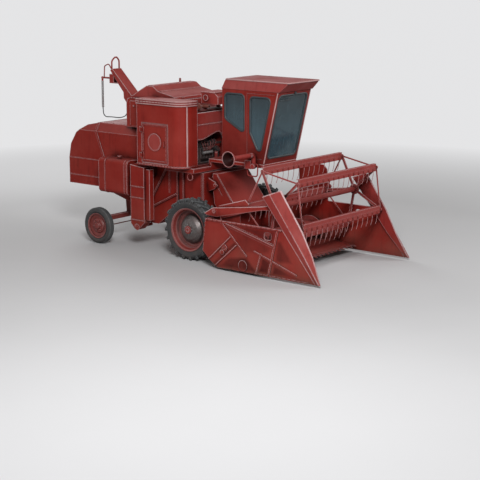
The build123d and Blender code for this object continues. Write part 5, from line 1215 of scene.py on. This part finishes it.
wiper = {
    "pivot": (3768, 40),  # height, and y from the cab's middle
    "tip": (3640, -300),
    "off": 0.012,  # off the glass, at both ends of the arm
    "lift": (0.022, 0.020),  # of the arm's arc at the pivot and the tip
    "arm": (0.008, 0.010),
    "blade": (0.010, 0.016),
    "bladeHalf": 0.190,
    "boss": [(0.0, -0.03), (0.034, -0.03), (0.034, 0.012), (0.022, 0.026), (0.0, 0.028)],
}


def makeWiper():
    # parked along the top of the windscreen: motor cover, arm in a shallow arc, blade level under it
    outward = unit(frontWay)
    feet = [inFrame([cabFront(z), cab["middle"] + y, z]) for z, y in (wiper["pivot"], wiper["tip"])]
    a, b = (foot + outward * wiper["off"] for foot in feet)
    up, down = wiper["lift"]
    line = smoothLine(np.array([a, a + outward * up, b + outward * down, b]), passes=2)
    arm = sweep(line, unit(np.cross(b - a, outward)), *wiper["arm"], sides=8)
    reach = np.array([0, wiper["bladeHalf"], 0])
    bladeLine = [b + reach * share for share in (-1, -0.5, 0.5, 1)]
    blade = sweep(bladeLine, outward, *wiper["blade"], sides=8)
    boss = turnedPart(wiper["boss"], feet[0], outward, sides=16)
    addPiece("windscreenWiper", joined([arm, blade, boss]), gasketRubber)


# Trim on the radiator box, painted pale as highlight lines, and the blank round plate on its door

radiatorTrim = {
    "cornerMiddle": (-530, -1010),
    "capRadius": 344,
    "capSteps": 12,
    "capRear": [(-1612, -1354), (-1604, -1354), (-1000, -1354)],  # x, y before and after the rounded corner
    "capFront": [(-186, -900), (-186, -836)],
    "capHeights": (3440, 3488, 3536),
    "capBead": (0.014, 0.030),
    # upright beads, on the rounded corner and at the tank's rear edge: size is width and depth
    "cornerBead": {
        "angle": 25.0, "radius": 330, "heights": (2068, 2078, 3418, 3428), "size": (0.040, 0.016),
    },
    "postBead": {
        "place": (-1628, -822), "heights": (1990, 2000, 2700, 2712), "size": (0.030, 0.020),
    },
    "plate": (-1050, -1340, 2580),  # its profile is radius, distance outwards
    "plateRim": [(0.205, -0.002), (0.205, 0.010), (0.199, 0.015), (0.187, 0.015), (0.181, 0.009)],
    "plateFace": [(0.123, 0.011), (0.0615, 0.012), (0.004, 0.012)],
}
doorRivets = {
    "radius": 0.008,
    "high": 0.006,
    "upright": [((x, -1348, 2165), (x, -1348, 2945), 9, right) for x in (-1397, -703)],
    "level": [((-1330, -1348, z), (-770, -1348, z), 7, right) for z in (2147, 2963)],
}


def uprightBead(x, y, heights, way, size):
    # an ellipse carried straight up through the heights
    return sweep(inFrame([(x, y, z) for z in heights]), way, *size)


def makeRadiatorTrim():
    x0, y0 = radiatorTrim["cornerMiddle"]
    bead = radiatorTrim["cornerBead"]
    turn = math.radians(bead["angle"])
    way = np.array([math.cos(turn), -math.sin(turn), 0])
    foot = np.array([x0, y0, 0]) + way * bead["radius"]
    parts = [uprightBead(foot[0], foot[1], bead["heights"], way, bead["size"])]
    bead = radiatorTrim["postBead"]
    parts.append(uprightBead(*bead["place"], bead["heights"], right, bead["size"]))
    # the cap's beads follow its plan: along the side, a quarter circle round the corner, across the front
    turn = np.radians(np.linspace(90, 0, radiatorTrim["capSteps"]))
    arc = np.array([x0, y0]) + radiatorTrim["capRadius"] * np.stack([np.cos(turn), -np.sin(turn)], axis=1)
    plan = np.vstack([radiatorTrim["capRear"], arc, radiatorTrim["capFront"]])
    for z in radiatorTrim["capHeights"]:
        path = inFrame(np.column_stack([plan, np.full(len(plan), z)]))
        parts.append(sweep(path, above, *radiatorTrim["capBead"]))
    addPiece("radiatorBeads", joined(parts), paints["highlightPaint"], smooth=True)
    profile = radiatorTrim["plateRim"] + radiatorTrim["plateFace"]
    plate = turnedPart(profile, inFrame(radiatorTrim["plate"]), right, sides=48)
    addPiece("doorPlate", plate, paints["litHoodPaint"], "radiator_door")
    makeRivetRows("doorRivets", doorRivets["upright"] + doorRivets["level"], doorRivets, "radiator_door")


# Engine dressing in the bay: pump with its pipes, filter, coolant pipe, wires

engine = {
    "pump": (-392, 2292),  # x, z of its axis
    "pumpEnds": (-430, -120),
    "pumpRadius": 0.040,
    "pumpGrooves": 11,
    "pumpGroove": (0.84, 0.006, 0.003),  # share of the radius, half its width at the top and at its floor
    "pumpNecks": ((0.7, 0.010), (0.6, 0.030)),  # share of the radius and length, at either end
    "pumpTip": (0.006, 0.002),  # radius, and how far it stands past the neck
    "lineCount": 6,
    "lineInset": 40,  # from the pump's ends
    "lineHeads": (-450, 70),
    # x, share of the way across from the pump to the cylinder head, z
    "linePoints": [(-392, 0, 2327), (-388, 0, 2382), (-370, 0.5, 2427), (-402, 1, 2530), (-470, 1, 2570),
                   (-500, 1, 2555)],
    "lineRadius": 0.0055,
    "filter": (-392, 35, 2130),
    "filterProfile": [(0.010, -0.004), (0.034, 0.0), (0.044, 0.012), (0.044, 0.120), (0.048, 0.124),
                      (0.048, 0.140), (0.030, 0.152), (0.012, 0.156)],
    "pipe": [(-560, -300, 2640), (-560, -300, 2710), (-470, -420, 2750), (-420, -560, 2740),
             (-420, -700, 2700), (-430, -838, 2690)],
    "pipeRadius": 0.029,
    "clampsAt": (2, 4),  # points of the path from its start and from its end
    "clampHalf": 0.008,
    "clampThick": 0.004,
    "wires": [
        [(-400, -330, 2150), (-392, -370, 2200), (-400, -410, 2330), (-410, -470, 2420), (-400, -520, 2600),
         (-380, -600, 2660)],
        [(-385, 95, 2150), (-380, 110, 2260), (-392, 60, 2330), (-396, -60, 2370), (-392, -160, 2380),
         (-400, -260, 2560)],
    ],
    "wireRadius": 0.009,
}


def pumpProfile():
    # (radius, y) of the grooved pump with its two necks
    start, end = (place * millimetre for place in engine["pumpEnds"])
    r, (tip, rise) = engine["pumpRadius"], engine["pumpTip"]
    share, top, floor = engine["pumpGroove"]
    (neckA, longA), (neckB, longB) = ((r * size, long) for size, long in engine["pumpNecks"])
    profile = [(tip, start - longA - rise), (neckA, start - longA), (neckA, start), (r, start)]
    for y in np.linspace(start, end, engine["pumpGrooves"] + 2)[1:-1]:
        profile += [(r, y - top), (r * share, y - floor), (r * share, y + floor), (r, y + top)]
    return profile + [(r, end), (neckB, end), (neckB, end + longB), (tip, end + longB + rise)]


def makeEngineDressing():
    # pump and filter are turned profiles; lines, pipe and wires are circles carried along smoothed routes
    x, z = engine["pump"]
    pump = turnedPart(pumpProfile(), inFrame([x, 0, z]), (0, 1, 0), sides=20)
    addPiece("injectionPump", pump, metals["bareSteel"])
    (start, end), inset, count = engine["pumpEnds"], engine["lineInset"], engine["lineCount"]
    starts, ends = np.linspace(start + inset, end - inset, count), np.linspace(*engine["lineHeads"], count)
    lines = []
    for y0, y1 in zip(starts, ends):
        route = inFrame([(x, y0 + share * (y1 - y0), z) for x, share, z in engine["linePoints"]])
        lines.append(tube(smoothLine(route), engine["lineRadius"], sides=8))
    addPiece("injectorLines", joined(lines), paints["reelPaint"], smooth=True)
    oilFilter = turnedPart(engine["filterProfile"], inFrame(engine["filter"]), above, sides=24)
    addPiece("oilFilter", oilFilter, paints["litHoodPaint"])
    path = smoothLine(inFrame(engine["pipe"]))
    addPiece("coolantPipe", tube(path, engine["pipeRadius"], sides=16), hoseRubber, smooth=True)
    (first, last), clampRadius = engine["clampsAt"], engine["pipeRadius"] + engine["clampThick"]
    clamps = []
    for k in (first, len(path) // 2, len(path) - last):
        half = unit(path[k + 1] - path[k - 1]) * engine["clampHalf"]
        clamps.append(tube([path[k] - half, path[k] + half], clampRadius, sides=16))
    addPiece("hoseClamps", joined(clamps), metals["bareSteel"])
    looms = [tube(smoothLine(inFrame(wire)), engine["wireRadius"], sides=8) for wire in engine["wires"]]
    addPiece("engineWiring", joined(looms), hoseRubber, smooth=True)


# Seat: two crowned vinyl pads with piping on a steel stand

seatShape = {
    "cushion": {"middle": (710, 110, 2632), "half": (0.226, 0.236, 0.048), "crown": 0.016, "thin": 2},
    "back": {"middle": (462, 110, 2912), "half": (0.036, 0.226, 0.216), "crown": 0.012, "thin": 0},
    "pullIn": 0.018,  # of the sides between the corners
    "cornerCut": 0.10,
    "channels": (-0.34, 0.34),
    "channelWide": 0.035,
    "channelDeep": 0.16,
    "underside": 0.82,  # its height as a share of the top's
    "piping": 0.014,  # across
    "fill": 0.75,
    "weld": 0.0004,  # rim points nearer than this become one
    "post": [(700, 110, 2252), (700, 110, 2262), (700, 110, 2550), (700, 110, 2562)],
    "postSize": (0.20, 0.22),
    "boxes": [  # centres, and half of each side
        ([(700, 110, 2566)], (0.19, 0.19, 0.010)),
        ([(700, 110, 2258)], (0.10, 0.12, 0.008)),
        ([(432, -60, 2720), (432, 280, 2720)], (0.010, 0.018, 0.155)),
        ([(520, -60, 2571), (520, 280, 2571)], (0.095, 0.018, 0.008)),
        ([(426, 110, 2900)], (0.006, 0.20, 0.19)),
    ],
}


def crownedPad(shape, count=40):
    # closed pad: a square grid on each side of the middle plane, its rim on a rounded square of power 6
    # whose sides pull in between the corners, its thickness falling from the middle to the rim by
    # (1 - u^4)(1 - v^4) to the power 0.45, with two sewn channels across as narrow dips
    half, crown, thin = shape["half"], shape["crown"], shape["thin"]
    u, v = np.meshgrid(np.linspace(-1, 1, count), np.linspace(-1, 1, count), indexing="ij")
    corner = 1 - seatShape["cornerCut"] * u**6 * v**6
    a = u * corner * (1 - seatShape["pullIn"] * (1 - v**2) * u**2)
    b = v * corner * (1 - seatShape["pullIn"] * (1 - u**2) * v**2)
    dips = sum(np.exp(-((v - at) / seatShape["channelWide"]) ** 2) for at in seatShape["channels"])
    high = ((1 - u**4) * (1 - v**4)) ** 0.45 * (1 - seatShape["channelDeep"] * dips) * (half[thin] - crown)
    wide, deep = (k for k in range(3) if k != thin)
    points = np.zeros((2, count, count, 3))
    points[..., wide], points[..., deep] = a * half[wide], b * half[deep]
    points[0, ..., thin] = high + crown * (1 - u**2) * (1 - v**2)
    points[1, ..., thin] = -high * seatShape["underside"]
    faces = gridFaces(count, count)
    rim = [points[0, :, 0], points[0, -1, 1:], points[0, ::-1, -1][1:], points[0, 0, ::-1][1:-1]]
    rim = np.concatenate(rim) * (np.arange(3) != thin)  # laid on the middle plane
    middle = inFrame(shape["middle"])
    return (points.reshape(-1, 3) + middle, [*faces, *(faces[:, ::-1] + count * count)]), rim + middle


def makeSeat():
    # two pads with a round cord carried along each rim, on a stand of a round post and boxes
    for key in ("cushion", "back"):
        shape = seatShape[key]
        surface, rim = crownedPad(shape)
        name = "seat" + key.capitalize()
        pad = addPiece(name, surface, vinyl)
        work = bmesh.new()
        work.from_mesh(pad.data)
        bmesh.ops.remove_doubles(work, verts=work.verts, dist=seatShape["weld"])
        bmesh.ops.recalc_face_normals(work, faces=work.faces)
        work.to_mesh(pad.data)
        work.free()
        pad.data.shade_smooth()
        if key == "cushion":
            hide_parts("seat")
        wide = seatShape["piping"]
        piping = sweep(rim, np.eye(3)[shape["thin"]], wide, wide, closed=True, sides=8)
        addPiece(name + "Piping", piping, gasketRubber, smooth=True)
    stand = [sweep(inFrame(seatShape["post"]), (0, 1, 0), *seatShape["postSize"], sides=20)]
    stand += [boxPoints(inFrame(centres), half) for centres, half in seatShape["boxes"]]
    addPiece("seatStand", joined(stand), paints["framePaint"])


makeStudio()
makeCamera()
print("studio made")
paintNodes()
print("nodes painted")
makeHose()
print("hose made")
makeRivets()
makeWheelNuts()
makeTineClips()
makeGuards()
print("rivets, nuts and clips made")
makeGaskets()
makeCabBeads()
makeWiper()
makeRadiatorTrim()
makeEngineDressing()
print("trim and engine dressing made")
makeSeat()
print("seat made")
